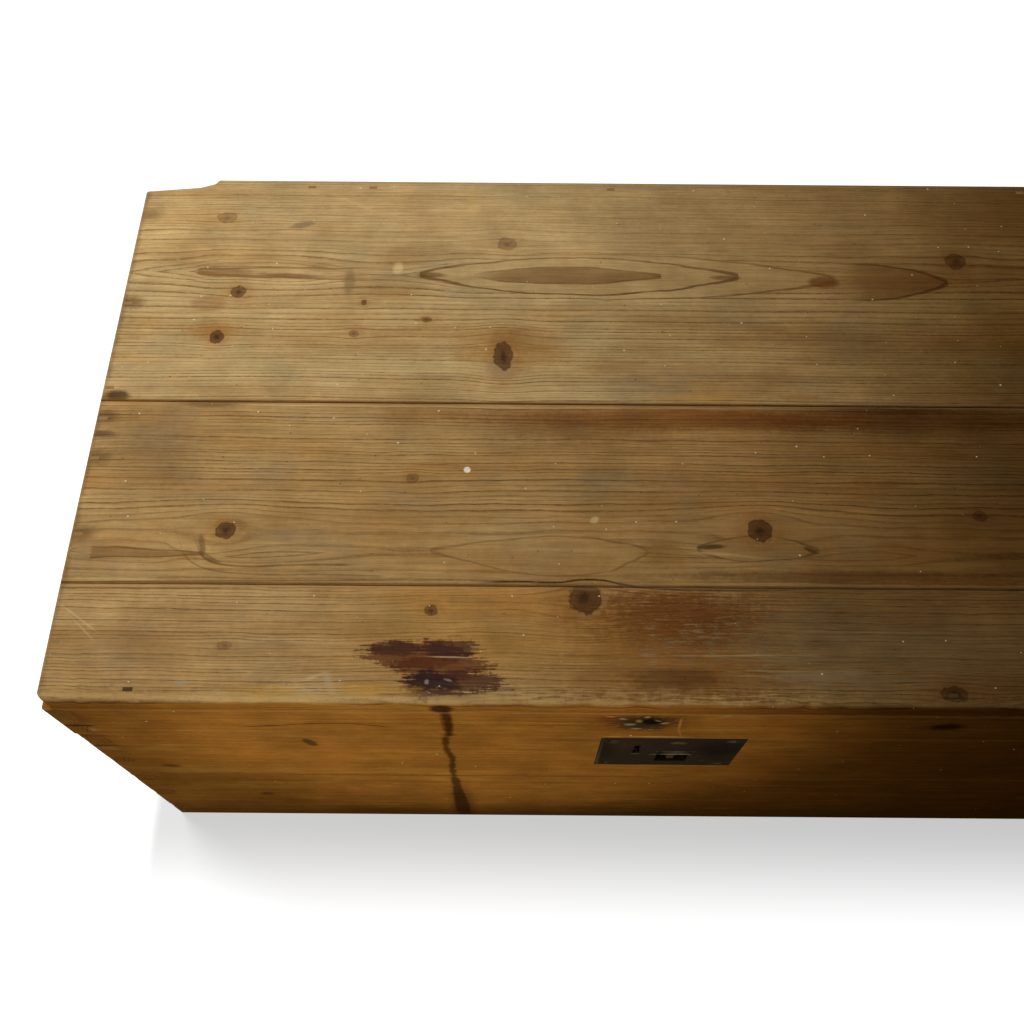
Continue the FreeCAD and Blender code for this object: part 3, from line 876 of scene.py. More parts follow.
def addFloor():
    bpy.ops.mesh.primitive_plane_add(size=studio["floorSize"], location=(0, 0, 0))
    floor = bpy.context.active_object
    floor.name = "studioFloor"
    material, tree, shader = newMaterial("paleFloor")
    tree.nodes.clear()
    # The floor's own glow turns to plain white away from the box and is dimmed near it: a painted shadow,
    # added to the lamps' real shadow
    x, y, z = apart(Value(tree.nodes.new("ShaderNodeTexCoord").outputs["Object"]))
    low, high = cadBox
    sideGap = maths("MAXIMUM", maths("ABSOLUTE", x) - high[0], 0.0) * studio["paintedShadowSideSteepness"]
    depthGap = maths("MAXIMUM", maths("ABSOLUTE", y) - abs(low[1]), 0.0)
    gap = maths("SQRT", sideGap * sideGap + depthGap * depthGap)
    outOfPaintedShadow = smoothStep(gap, 0.0, studio["paintedShadowWidth"])
    light = scaled(outOfPaintedShadow, studio["farLight"] - studio["nearLight"], studio["nearLight"])
    glow = newShader(tree, "Emission", (1, 1, 1, 1), light)
    dimmed = newShader(tree, "BsdfDiffuse", studio["seenShade"])
    both = newNode("AddShader", (Value(dimmed.outputs[0]), Value(glow.outputs[0])))
    showByRay(tree, newShader(tree, "BsdfDiffuse", studio["floorShade"]), both, "ShaderNodeOutputMaterial")
    floor.data.materials.append(material)


def addWorld():
    world = bpy.data.worlds.new("studio")
    bpy.context.scene.world = world
    world.use_nodes = True
    tree = world.node_tree
    tree.nodes.clear()
    ambient = newShader(tree, "Background", (1, 1, 1, 1), studio["worldLight"])
    white = newShader(tree, "Background", (1, 1, 1, 1), 1.0)
    showByRay(tree, ambient, white, "ShaderNodeOutputWorld")


def addLamp(name, look):
    if "angle" in look:
        data = bpy.data.lights.new(name, "SPOT")
        data.shadow_soft_size = look["size"]
        data.spot_size = math.radians(look["angle"])
        data.spot_blend = look["blend"]
    else:
        data = bpy.data.lights.new(name, "AREA")
        data.shape = "DISK"
        data.size = look["size"]
    data.energy = look["power"]
    lamp = addObject(name, data)
    lamp.location = look["place"]
    aim = Vector(look["aim"]) - Vector(look["place"])
    lamp.rotation_euler = aim.to_track_quat("-Z", "Y").to_euler()


addCamera()
addFloor()
addWorld()
for name, look in lamps.items():
    addLamp(name, look)
bpy.context.scene.view_settings.view_transform = "Standard"
print("camera, floor and lamps are in")

# Lid, back board. The rows hold:
# a lens: its start, end, middle line, reach up and down, skew, power, line width and fading; how far it
# clears the grain; the colour and share of its line, and of what it is filled with
# a knot: where it lies, half its length and width, how far it pushes the grain, its strength
# a mark: where it lies, half its length and width, its turn, how soft and how ragged it is, its colour
# and its strength
lidBoardBack = {
    "faded": "z",
    "inward": "-z",
    "centre": 381,
    "depth": 62,
    "lineStrength": 0.8,
    "figure": [(0, 0.12), (0.06, 0.34), (0.1, 0.6), (0.15, 0.58), (0.235, 0.22), (0.27, 0.28), (0.31, 0.62),
               (0.36, 0.8), (0.46, 0.8), (0.52, 0.62), (0.62, 0.5), (0.7, 0.38), (0.8, 0.26), (0.9, 0.15),
               (1, 0.1)],
    "seed": 1,
    "leftDirt": 0.6,
    "wear": 0.15,
    "rightFrom": 260,
    "lenses": {
        "outer": ((-100, 612, 379, 26, 23, 1.9, 0.75, 1, 330, 440),
            0.8, (112, 80, 42), 0.7, (170, 140, 92), 0.2),
        "second": ((400, 708, 377, 20, 20, 2.2, 0.8, 1.3, 612, 640),
            0.8, (96, 64, 32), 0.7, (128, 88, 46), 0.6),
        "ring": ((251, 528, 381, 20, 20.5, 1, 0.75, 1.1, 249, 250),
            0.9, (104, 72, 38), 0.85, (166, 136, 88), 0.3),
        "core": ((298, 461, 381.5, 9, 9.5, 0.9, 0.7, 0.8, 290, 330),
            0.5, (104, 74, 40), 0.75, (120, 86, 48), 0.8),
        "left": ((58, 700, 382.5, 6.5, 8.5, 1, 0.4, 1.1, 250, 150),
            0.8, (126, 92, 54), 0.85, (168, 136, 88), 0.2),
    },
    "knots": {
        "low left": (98, 361, 6, 6, 0.4, 0.85),
        "left": (86, 313, 5.5, 6, 0.35, 1),
        "tall": (325, 296, 7, 13.5, 0.35, 1),
        "faint middle": (327, 416, 7.5, 7, 0.5, 0.45),
        "faint corner": (78, 444, 8, 6, 0.4, 0.45),
        "right": (718, 400, 8, 8, 0.4, 0.7),
        "small": (206, 351, 2.2, 3, 0.4, 0.8),
        "dot": (200, 318, 4, 3.5, 0.5, 0.55),
        "dot by the tall one": (260, 333, 4, 2.5, 0.5, 0.7),
    },
    "marks": {
        "nail stain 1": nailStain(447, tint=(104, 76, 44), halfLong=10),
        "nail stain 2": nailStain(349, tint=(104, 76, 44), halfLong=10),
        "nail stain 3": nailStain(254, 5),
        "warm by the left knot": (80, 318, 20, 9, 0, 0.7, 0.7, (156, 104, 44), 0.45),
        "warm by the tall knot": (336, 304, 42, 16, 0, 0.7, 0.7, (150, 102, 44), 0.5),
        "grey by the tall knot": (320, 284, 10, 9, 0, 0.6, 0.3, (150, 138, 104), 0.5),
        "nail stain 4": nailStain(254, 5, (70, 50, 28), x=14, soft=0.4, rough=0.4, strength=0.85),
        "dark dash": (145, 436, 10, 3, 15, 0.4, 0.5, (92, 80, 60), 0.85),
        "reddish patch": (75, 348, 15, 8, 0, 0.3, 0.25, (142, 104, 66), 0.6),
        "pale wedge": (297, 464, 6, 16, 8, 0.5, 0.9, (196, 160, 96), 0.6),
        "pale streak": (192, 461, 22, 2, -28, 0.5, 0.9, (190, 160, 108), 0.6),
        "pale spot": (233, 388, 4, 6.5, -10, 0.4, 0.5, (204, 178, 122), 0.85),
        "smudge": (192, 372, 4.5, 13, 0, 0.5, 0.2, (120, 98, 64), 0.6),
        "left core": (86, 381, 24, 4.5, 0, 0.4, 0.3, (134, 98, 58), 0.75),
        "left smudge": (140, 379, 24, 2.4, -3, 0.5, 0.5, (112, 76, 46), 0.75),
        "left point": (262, 381, 12, 2.8, 0, 0.4, 0.3, (96, 66, 36), 0.75),
        "right point": (515, 380, 12, 2.6, 0, 0.4, 0.3, (104, 70, 36), 0.7),
        "brown tip": (600, 376, 13, 6, 0, 0.3, 0.2, (112, 70, 32), 0.8),
        "pale back": (430, 444, 330, 46, 0, 0.8, 0.2, (190, 158, 108), 0.55),
        # painted shade on the right, by the joint
        "painted shade by the joint": (840, 284, 200, 44, 0, 0.8, 0.3, (84, 60, 34), 0.35),
        "yellow by the joint": (478, 257, 32, 4, 0, 0.5, 0.9, (186, 140, 70), 0.5),
        "yellow by the joint, right": (566, 257, 16, 4, 0, 0.5, 0.9, (160, 112, 50), 0.5),
    },
}

# Lid, middle board
lidBoardMiddle = {
    "faded": "z",
    "inward": "-z",
    "centre": 118,
    "depth": 55,
    "figure": [(0, 0.1), (0.03, 0.35), (0.07, 0.38), (0.1, 0.12), (0.16, 0.3), (0.25, 0.12), (0.36, 0.14),
               (0.42, 0.45), (0.52, 0.45), (0.58, 0.2), (0.64, 0.35), (0.72, 0.12), (1, 0.1)],
    "figureRings": 7,
    "figureWidth": 9,
    "spacing": 2.7,
    "seed": 2,
    "runs": [jointCrack, hookPath, outerHookPath],
    "leftDirt": 0.6,
    "wear": 0.15,
    "early": shade(170, 137, 87),
    "late": shade(108, 76, 40),
    # painted shade at the right end
    "endPaintedShade": (0.43, 0.41, 0.39, 1),
    "endFrom": 470,
    "endTo": 760,
    "lenses": {
        "wedge": ((-40, 104, 115, 4.5, 4.5, 0.9, 0.8, 0.7, 17.5, 20),
            0.7, (104, 72, 40), 0.7, (126, 92, 54), 0.7),
        "middle": ((272, 436, 119, 11.5, 21, 1.3, 0.7, 0.8, 270, 271),
            0.9, (112, 80, 44), 0.5, (154, 120, 70), 0.3),
        "by the right knot": ((472, 564, 121, 11, 10, 1, 0.8, 0.8, 470, 471),
            0.9, (84, 58, 32), 0.5, (150, 116, 68), 0.3),
    },
    "knots": {
        "left": (117, 134, 7, 6.5, 0.8, 1),
        "right": (521, 137, 8.5, 8.5, 0.8, 1),
        "bend round the left": (117, 134, 20, 9, 0.75, 0),
        "bend round the right": (521, 137, 20, 9, 0.75, 0),
        "faint": (256, 180, 4.5, 4, 0.5, 0.5),
        "far right": (690, 151, 5, 4, 0.5, 0.6),
    },
    "marks": {
        "nail stain 5": nailStain(218, 3, (80, 56, 32), halfLong=10, soft=0.6, rough=0.4),
        "nail stain 6": nailStain(234),
        "nail stain 7": nailStain(197),
        "nail stain 8": nailStain(130),
        "red-brown band": (480, 236, 140, 10, 0, 0.5, 0.4, (124, 74, 30), 0.7),
        "red-brown band, right": (640, 234, 110, 12, 0, 0.6, 0.4, (100, 58, 26), 0.6),
        "red-brown start": (370, 228, 80, 12, -4, 0.6, 0.4, (116, 76, 38), 0.5),
        "white fleck": (298, 188, 2.6, 2.6, 0, 0.25, 0, (232, 224, 200), 0.95),
        "hook shade": (101, 121, 2.4, 9, 14, 0.5, 0.4, (100, 72, 42), 0.65),
        "hook shade, low": (109, 110, 8, 2, -30, 0.5, 0.4, (100, 72, 42), 0.6),
        "crack": (460, 249.4, 470, 0.8, 0, 0.6, 0.9, (52, 36, 22), 0.7),
        "crack lip": (300, 246, 320, 1, 0, 0.6, 0.9, (190, 164, 116), 0.5),
        "crack smudge": (90, 247, 24, 3, 0, 0.6, 0.5, (88, 64, 40), 0.6),
        "crack smudge right": (640, 246, 60, 4, 0, 0.6, 0.5, (76, 48, 26), 0.6),
        "joint sliver": (34, 93, 30, 1.8, 1.5, 0.5, 1.4, (190, 158, 96), 0.6),
        "joint line left": (170, 93, 130, 0.7, 0.6, 0.5, 0.7, (88, 62, 34), 0.6),
        "joint band": (580, 99, 110, 5, 0, 0.6, 0.7, (92, 58, 28), 0.55),
        "splinter dark": (483, 123, 10, 1.8, 4, 0.4, 0.5, (76, 54, 36), 0.8),
        "splinter pale": (492, 117, 24, 1.4, -5, 0.5, 0.5, (186, 156, 106), 0.8),
        "torn patch": (448, 116, 18, 11, 0, 0.4, 0.35, (142, 106, 58), 0.7),
        "dark tip": (557, 121, 5, 1.6, -25, 0.4, 0.3, (76, 50, 28), 0.7),
        "pale mark": (396, 145, 3.5, 2.5, 30, 0.4, 0.2, (196, 170, 120), 0.8),
        "grey patch": (50, 196, 34, 40, 0, 0.7, 0.5, (118, 94, 62), 0.42),
    },
}

# Lid, front board
lidBoardFront = {
    "faded": "z",
    "inward": "-z",
    "centre": -60,
    "depth": 40,
    "spacing": 2.5,
    "seed": 3,
    "leftDirt": 0.6,
    "wear": 0.15,
    "early": shade(180, 147, 97),
    "late": shade(116, 86, 48),
    "rightFrom": 190,
    # painted shade at the right end
    "endPaintedShade": (0.5, 0.48, 0.46, 1),
    "endFrom": 380,
    "endTo": 640,
    "knots": {
        "by the joint": (387, 81, 11, 11, 0.8, 1),
        "small": (275, 70, 4.5, 4, 0.4, 0.8),
        "right edge": (645, 10, 9, 5, 0.5, 0.8),
        "left": (128, 42, 5, 3, 0.5, 0.4),
    },
    "marks": {
        "honey": (310, 56, 90, 46, 0, 0.6, 0.2, (176, 126, 54), 0.52),
        "honey, right": (455, 42, 80, 48, 0, 0.6, 0.3, (138, 88, 28), 0.68),
        "left shade": (50, 36, 80, 30, 0, 0.8, 0.3, (108, 80, 46), 0.2),
        "joint dark right": (700, 88.5, 200, 1.3, 0, 0.6, 0.9, (70, 44, 22), 0.6),
        "joint dark left": (60, 86, 90, 0.8, 0.5, 0.6, 0.9, (92, 66, 36), 0.6),
        "warm by the knot": (350, 76, 50, 14, 0, 0.7, 0.4, (150, 98, 40), 0.35),
        "red-brown middle": (462, 64, 62, 24, -6, 0.5, 1.3, (108, 62, 28), 0.75),
        "red-brown, right": (560, 50, 50, 22, 0, 0.7, 0.5, (104, 62, 28), 0.45),
        "scuffed": (620, 44, 130, 24, 0, 0.5, 2.2, (170, 148, 106), 0.5),
        "scuffed low": (560, 22, 50, 5, 0, 0.5, 1.5, (170, 152, 116), 0.5),
        "stain, red": (265, 36, 37, 10.5, 0, 0.12, 0.8, (96, 50, 30), 0.82),
        "stain, join": (284, 27, 34, 9.5, 0, 0.12, 0.8, (90, 48, 30), 0.8),
        "stain, back left": (250, 41, 20, 5.5, 0, 0.2, 0.8, (68, 42, 36), 0.7),
        "stain, back right": (290, 41, 20, 7.5, 0, 0.2, 0.8, (62, 40, 36), 0.8),
        "stain, front": (293, 16, 36, 9, 0, 0.12, 0.8, (74, 42, 34), 0.85),
        "stain, heart": (276, 14, 19, 9.5, 0, 0.25, 0.7, (52, 35, 35), 0.8),
        "stain, smear": (286, 5, 27, 4.5, 0, 0.3, 0.8, (100, 66, 54), 0.6),
        "white in the stain": (289, 17.5, 2.6, 0.8, -18, 0.5, 1.6, (160, 148, 136), 0.5),
        "white by the stain": (274, 16, 1.3, 1.5, 0, 0.5, 1.4, (170, 160, 146), 0.5),
        "scratch in the stain": (290, 34.5, 15, 0.6, -1, 0.5, 0.3, (190, 160, 120), 0.7),
        "scratch": (20, 62, 16, 0.7, -35, 0.5, 0.5, (190, 168, 120), 0.45),
        "scratch below": (24, 54, 12, 0.6, -42, 0.5, 0.5, (190, 168, 120), 0.4),
        "grey fleck": (101, 14, 5, 2, 0, 0.5, 1.6, (150, 148, 124), 0.4),
        "pale scrape": (206, 14, 3, 8, 30, 0.5, 1.6, (190, 168, 128), 0.4),
        "pale scrape, left": (196, 20, 9, 1.2, 20, 0.5, 1.2, (190, 168, 128), 0.4),
        "ochre flake": (236, 10, 26, 4, 0, 0.4, 1.5, (188, 136, 52), 0.6),
        "ochre flake, left": (160, 9, 24, 3.4, 0, 0.4, 1.5, (184, 140, 66), 0.5),
        "brown smear": (450, 20, 34, 7, 0, 0.5, 0.6, (88, 58, 30), 0.6),
        "pale line": (500, 37.5, 46, 0.7, 0.6, 0.5, 0.9, (196, 172, 124), 0.6),
        "pale line, upper": (590, 56, 60, 0.6, 0, 0.5, 1.1, (186, 158, 108), 0.5),
        "pale line, lower": (560, 26, 50, 0.6, 0, 0.5, 1.1, (186, 158, 108), 0.45),
        "pale smear": (540, 34, 26, 4, 0, 0.6, 0.7, (160, 138, 100), 0.5),
    },
    "frontMarks": {
        "drip head": (284, 368, 8, 9, 0, 0.35, 0.4, (44, 24, 16), 0.85),
    },
    "frontWear": 0.6,
    "runs": [dripPath, jointCrack],
}


def selectWhere(piece, wanted):
    # Selects the corners of the mesh for which wanted(place in millimetres) is true
    startEdit(piece)
    bpy.ops.mesh.select_mode(type="VERT")
    bpy.ops.mesh.select_all(action="DESELECT")
    endEdit()
    for vertex in piece.data.vertices:
        vertex.select = wanted(*inMillimetres(vertex.co))
    bpy.ops.object.mode_set(mode="EDIT")


def closeJoint(piece, y, step):
    # Moves the edge of a board that lies at y a little, towards its neighbour
    selectWhere(piece, lambda px, py, pz: abs(py - y) < 0.3)
    bpy.ops.transform.translate(value=(0, step * box["millimetre"], 0))
    endEdit()


cornerWear = {
    "reach": 8.0,
    "share": 0.25,
    "rail": 2.5,
    "railStandsOut": 3.0,
}


def wearCorners(piece):
    # The lid's front corners are worn back further than the board was rounded
    for vertex in piece.data.vertices:
        x, y, z = inMillimetres(vertex.co)
        fromEnd = min(x, box["length"] - x)
        step = max(0.0, cornerWear["reach"] - fromEnd - y) * cornerWear["share"] * box["millimetre"]
        vertex.co.x += step if x < box["length"] / 2 else -step
        vertex.co.y += step


def roundCorner(piece):
    # Rounds the upright arris at the front left corner of a rail, which stands out from the body
    selectWhere(piece, lambda x, y, z: abs(x + cornerWear["railStandsOut"]) < 0.5 and abs(y) < 0.5)
    bpy.ops.mesh.select_mode(type="EDGE")
    width = cornerWear["rail"] * box["millimetre"]
    bpy.ops.mesh.bevel(offset=width, segments=4, affect="EDGES", clamp_overlap=True)
    bpy.ops.mesh.select_mode(type="VERT")
    endEdit()


arrisWear = {
    "start": 14.0,
    "end": 906.0,
    "pitch": 9.0,
    "unevenness": 0.45,
    "reach": 7.5,
    "fromEnds": 8.0,
    "slowScale": 0.045,
    "quickScale": 0.16,
    "quickShare": 0.6,
    "everywhere": 0.25,
    "bite": 1.5,
    "backShare": 0.7,
}


def wearFrontArris(piece):
    # Cuts the board across at uneven places and lowers its front arris unevenly between them
    startEdit(piece)
    place = arrisWear["start"]
    step = 0
    while place < arrisWear["end"]:
        bpy.ops.mesh.select_all(action="SELECT")
        x = (place - box["length"] / 2) * box["millimetre"]
        bpy.ops.mesh.bisect(plane_co=(x, 0, 0), plane_no=(1, 0, 0))
        step += 1
        place += arrisWear["pitch"] * (1 + arrisWear["unevenness"] * math.sin(step * 2.3))
    endEdit()
    for vertex in piece.data.vertices:
        x, y, z = [value * 1000 for value in vertex.co]
        fromFront = y + box["depth"] / 2
        fromTop = box["height"] - z
        inReach = fromFront + fromTop < arrisWear["reach"]
        if inReach and abs(x) < box["length"] / 2 - arrisWear["fromEnds"]:
            slow = noise.noise(Vector((x * arrisWear["slowScale"], 3.0, 0.0)))
            quick = noise.noise(Vector((x * arrisWear["quickScale"], 8.0, 0.0)))
            depth = slow + arrisWear["quickShare"] * quick + arrisWear["everywhere"]
            bite = max(0.0, depth) * arrisWear["bite"] * box["millimetre"]
            vertex.co.y += bite * arrisWear["backShare"]
            vertex.co.z -= bite


def addBoard(nodeName, look, width, joints=()):
    piece = copyOfNode(nodeName)
    for y, step in joints:
        closeJoint(piece, y, step)
    if nodeName == "lid_board_front":
        wearFrontArris(piece)
        wearCorners(piece)
    if nodeName in ("lid_rail_front", "lid_rail_left"):
        roundCorner(piece)
    softenEdges(piece, width)
    finishPiece(piece, nodeName, pineMaterial(piece.name, nodeName, look))


addBoard("lid_board_back", lidBoardBack, 0.0002, [(250.6, -0.15)])
addBoard("lid_board_middle", lidBoardMiddle, 0.0001, [(250.0, 0.15), (90.6, -0.27)])
addBoard("lid_board_front", lidBoardFront, 0.0001, [(90.0, 0.27)])
print("lid boards are in")

# Front boards and rail
frontFace = {
    "across": "z",
    "face": 0,
    "faceSide": -1,
    "inward": "y",
    "lineStrength": 0.65,
    "runs": [dripPath],
    "wear": 0.12,
    "scuffs": 0.2,
    "patchDepth": 0.62,
    "worn": shade(168, 120, 60),
    "footDarkening": 0.5,
    "speckShare": 0.3,
    "dash": shade(70, 42, 16),
    # a browner patina and painted shade towards the right of the front
    "rightTint": (0.52, 0.45, 0.34, 1),
}
lidRailFront = dict(frontFace, **{
    "centre": 200,
    "depth": 30,
    "runs": [dripPath, veinPath],
    "spacing": 2.8,
    "seed": 4,
    "marks": {
        "left end": (9, 342, 14, 18, 0, 0.4, 0.4, (104, 56, 28), 0.6),
        "scar halo": (424, 338, 38, 24, 0, 0.7, 0.5, (84, 48, 18), 0.6),
        "hasp scar": (432, 338, 23, 17, 0, 0.45, 0.9, (46, 36, 22), 0.9),
        "scar hole": (437, 341, 8, 7, 0, 0.3, 0.5, (18, 14, 8), 0.9),
        "drip upper": (286.5, 338, 4.6, 40, 0, 0.3, 0.3, (96, 48, 16), 0.7),
        "drip step": (287, 301, 6, 1.6, 0, 0.4, 0.3, (40, 22, 10), 0.8),
        "line": (458, 336, 1.1, 13, 4, 0.5, 0.4, (170, 118, 58), 0.65),
        "line foot": (461, 313, 1, 10, 14, 0.5, 0.4, (170, 118, 58), 0.55),
        "long crack": (360, 329.5, 54, 0.8, 0, 0.6, 0.6, (92, 46, 14), 0.6),
        "above the plate": (448, 300, 22, 1.6, 0, 0.5, 0.5, (190, 150, 92), 0.8),
        "above the plate left": (412, 299, 8, 1.2, 0, 0.5, 0.5, (178, 140, 88), 0.6),
        "left end line": (9, 318.5, 12, 3, 0, 0.4, 0.3, (52, 34, 18), 0.8),
        "left end pale": (9, 308, 12, 5, 0, 0.4, 0.3, (168, 130, 78), 0.6),
        "dark spot": (655, 333, 12, 8, 0, 0.5, 0.4, (36, 24, 14), 0.8),
        "red blotch": (404, 347, 7, 6, 0, 0.6, 0.4, (104, 46, 16), 0.5),
    },
})
# Pale flecks in and round the hasp's scar: where, half the length and width, the turn and the strength
scarFlecks = [(419, 360, 5, 1.2, 6, 0.6), (415, 347, 2.6, 1.7, -25, 0.65), (427, 342, 2.2, 2.4, 40, 0.5),
              (441, 343, 3, 1.2, -35, 0.4), (421, 333, 3.4, 2.2, 0, 0.7), (447, 337, 3.6, 2.6, 35, 0.55),
              (427, 322, 3, 1.6, 5, 0.4), (438, 320, 2, 1.4, 0, 0.45), (448, 362, 3, 1.6, 10, 0.7),
              (461, 371, 2.6, 1.6, 20, 0.7), (489, 356, 5, 1.4, 32, 0.6), (405, 353, 3, 1.2, -15, 0.5),
              (432, 352, 1.8, 1.4, 15, 0.5)]
fleckTints = [(190, 162, 112), (140, 132, 100), (172, 140, 86)]
for number, (*form, strength) in enumerate(scarFlecks):
    tint = fleckTints[number % len(fleckTints)]
    lidRailFront["marks"]["fleck " + str(number + 1)] = (*form, 0.5, 1.6, tint, strength)
frontUpper = dict(frontFace, **{
    "centre": 140,
    "depth": 30,
    "seed": 5,
    "marks": {
        "spot": (176, 276, 4.5, 11, 14, 0.35, 0.2, (70, 48, 24), 0.85),
        "left dark": (9, 276, 10, 8, 0, 0.35, 0.3, (60, 44, 24), 0.7),
        "left brown": (9, 291, 12, 5, 0, 0.4, 0.3, (92, 58, 28), 0.6),
        "left line": (9, 262, 11, 1.2, 0, 0.4, 0.4, (48, 32, 16), 0.8),
        "left pale": (9, 253, 10, 6, 0, 0.4, 0.3, (160, 116, 62), 0.5),
        "dashes": (250, 169, 240, 1.1, 0, 0.6, 1.2, (60, 38, 16), 0.7),
        "knot": (45, 197, 8, 6, 0, 0.5, 0.3, (60, 38, 20), 0.6),
    },
})
frontLower = dict(frontFace, **{
    "centre": -30,
    "depth": 40,
    "seed": 6,
    "marks": {
        "drip foot": (288, 48, 11, 70, 0, 0.6, 0.5, (62, 38, 16), 0.6),
        "left mark one": (9, 157, 10, 6, 0, 0.4, 0.4, (60, 42, 22), 0.6),
        "left mark two": (9, 98, 10, 9, 0, 0.4, 0.4, (60, 42, 22), 0.55),
        "left mark three": (9, 37, 10, 8, 0, 0.4, 0.4, (56, 38, 20), 0.55),
        "knot": (105, 91, 6, 5, 0, 0.5, 0.3, (60, 38, 20), 0.6),
    },
})
addBoard("lid_rail_front", lidRailFront, 0.0001)
addBoard("front_board_upper", frontUpper, 0.0004)
addBoard("front_board_lower", frontLower, 0.0004)
print("front boards are in")

# Boards at the back, the ends and the bottom
# A milder patina and painted shade for the boards at the right end
milderPatinaAndShade = (0.82, 0.76, 0.68, 1.0)
sideBoard = {
    "lineStrength": 0.65,
    "wear": 0.12,
    "endGrain": shade(86, 58, 30),
    "endGrainShare": 0.25,
    "worn": shade(168, 120, 60),
    "footDarkening": 0.5,
}
backSide = dict(sideBoard, across="z", face=490.0, inward="-y")
leftSide = dict(sideBoard, grainAlong="y", across="z", face=0.0, faceSide=-1, inward="x")
rightSide = dict(sideBoard, grainAlong="y", across="z", face=920.0, inward="-x", rightTint=milderPatinaAndShade,
                 endPaintedShade=milderPatinaAndShade)
underside = dict(sideBoard, face=0.0, faceSide=-1, inward="z")
otherBoards = {
    "lid_rail_back": dict(backSide, centre=325.0),
    "back_board_upper": dict(backSide, centre=240.0),
    "back_board_lower": dict(backSide, centre=70.0),
    "lid_rail_left": dict(leftSide, face=-3.0, centre=330.0),
    "lid_rail_right": dict(rightSide, face=923.0, centre=320.0),
    "left_board_upper": dict(leftSide, centre=230.0),
    "left_board_lower": dict(leftSide, centre=80.0),
    "right_board_upper": dict(rightSide, centre=225.0),
    "right_board_lower": dict(rightSide, centre=90.0),
    "bottom_board_front": dict(underside, centre=90.0),
    "bottom_board_middle": dict(underside, centre=240.0),
    "bottom_board_back": dict(underside, centre=400.0),
}
for number, (nodeName, look) in enumerate(otherBoards.items()):
    addBoard(nodeName, dict(look, seed=7.0 + number), 0.0008)
print("other boards are in")

# Iron and brass
def metal(bare, dark, rust, worn):
    return {"bare": shade(*bare), "dark": shade(*dark), "rust": shade(*rust), "worn": shade(*worn)}


iron = metal((40, 33, 23), (20, 16, 11), (62, 40, 22), (120, 106, 82))
plateTones = metal((52, 43, 30), (28, 23, 15), (66, 44, 26), (120, 106, 82))
brass = metal((72, 58, 34), (44, 34, 18), (58, 40, 22), (120, 102, 66))
nailHead = metal((154, 122, 76), (124, 94, 56), (140, 104, 62), (166, 134, 88))
frontNailHead = metal((92, 68, 44), (64, 46, 30), (84, 54, 32), (112, 88, 58))


def ironMaterial(name, rustShare=0.35, tones=iron, rubbedShare=0.5, marks={}):
    material, tree, shader = newMaterial(name)
    place = Value(tree.nodes.new("ShaderNodeTexCoord").outputs["Object"])
    patch = cloud(place, 60.0, 4.0, 0.6)
    grit = cloud(place, 900.0, 2.0, 0.6)
    rusty = smoothStep(patch + grit * 0.3, 0.35 - rustShare, 0.6)
    colour = blendColour(limited(scaled(grit, 0.5, 0.5)), tones["dark"], tones["bare"])
    colour = blendColour(rusty * 0.7, colour, tones["rust"])
    # Sharp edges are rubbed brighter
    form = tree.nodes.new("ShaderNodeNewGeometry")
    rubbed = smoothStep(Value(form.outputs["Pointiness"]), 0.53, 0.62) * smoothStep(patch, -0.3, 0.5)
    colour = blendColour(rubbed * rubbedShare, colour, tones["worn"])
    x, y, z = apart(place)
    x = scaled(x, 1000.0, box["length"] / 2)
    colour = addMarks(colour, marks, x, z * 1000.0, scaled(grit, 0.6, patch))
    feed(shader.inputs["Base Color"], colour)
    feed(shader.inputs["Roughness"], scaled(rusty, 0.25, 0.55))
    shader.inputs["Specular IOR Level"].default_value = 0.0
    addBump(shader, patch + grit * 0.5, 0.5, 0.0003)
    return material


blackIron = ironMaterial("blackIron")
rustyIron = ironMaterial("rustyIron", 0.7)
plateMarks = {
    # a painted highlight on the lit top of the pocket's lip
    "painted highlight on the pocket's lip": (466, 255.8, 13, 1.3, 0, 0.5, 0.5, (136, 122, 94), 0.75),
    "left of the pocket": (449, 247, 4, 2.2, 20, 0.5, 0.6, (84, 82, 58), 0.5),
    "above the pocket": (465, 281, 5, 3.5, 0, 0.5, 0.9, (92, 78, 52), 0.6),
    # a painted highlight on the keyhole's lit lower sill
    "painted highlight at the keyhole's foot": (434, 249, 3.4, 1.4, 0, 0.5, 0.5, (84, 68, 60), 0.7),
    # a painted glint along the plate's left arris
    "left arris": (405, 250, 1.2, 38, 0, 0.6, 0.7, (88, 76, 58), 0.5),
    "top left corner": (413, 284, 4, 5, 0, 0.6, 0.7, (92, 66, 44), 0.55),
    "top right corner": (507, 287, 5, 3.5, 0, 0.6, 0.7, (96, 82, 62), 0.6),
    "foot left corner": (410, 219, 4, 3, 0, 0.6, 0.7, (80, 66, 46), 0.5),
    "foot right corner": (506, 219, 5, 3, 0, 0.6, 0.7, (84, 66, 44), 0.5),
    "brown cloud": (424, 276, 16, 12, 0, 0.8, 0.7, (58, 40, 28), 0.6),
    # painted shade over the plate's right end
    "black cloud": (500, 262, 18, 24, 0, 0.8, 0.5, (16, 14, 8), 0.6),
    "left black cloud": (408, 262, 8, 22, 0, 0.8, 0.6, (20, 18, 10), 0.45),
}
plateIron = ironMaterial("plateIron", 0.2, plateTones, 0.0, plateMarks)


# Moves in edit mode
def pushOut(x, y, z):
    bpy.ops.mesh.extrude_region_move(TRANSFORM_OT_translate={"value": (x, y, z)})


def bendRound(centre, axis, degrees, steps):
    bpy.ops.mesh.spin(steps=steps, angle=math.radians(degrees), center=centre, axis=axis)


def thicken(centre, factor, alongAxis):
    value = [1.0 if letter == alongAxis else factor for letter in "xyz"]
    bpy.ops.transform.resize(value=value, center_override=centre)


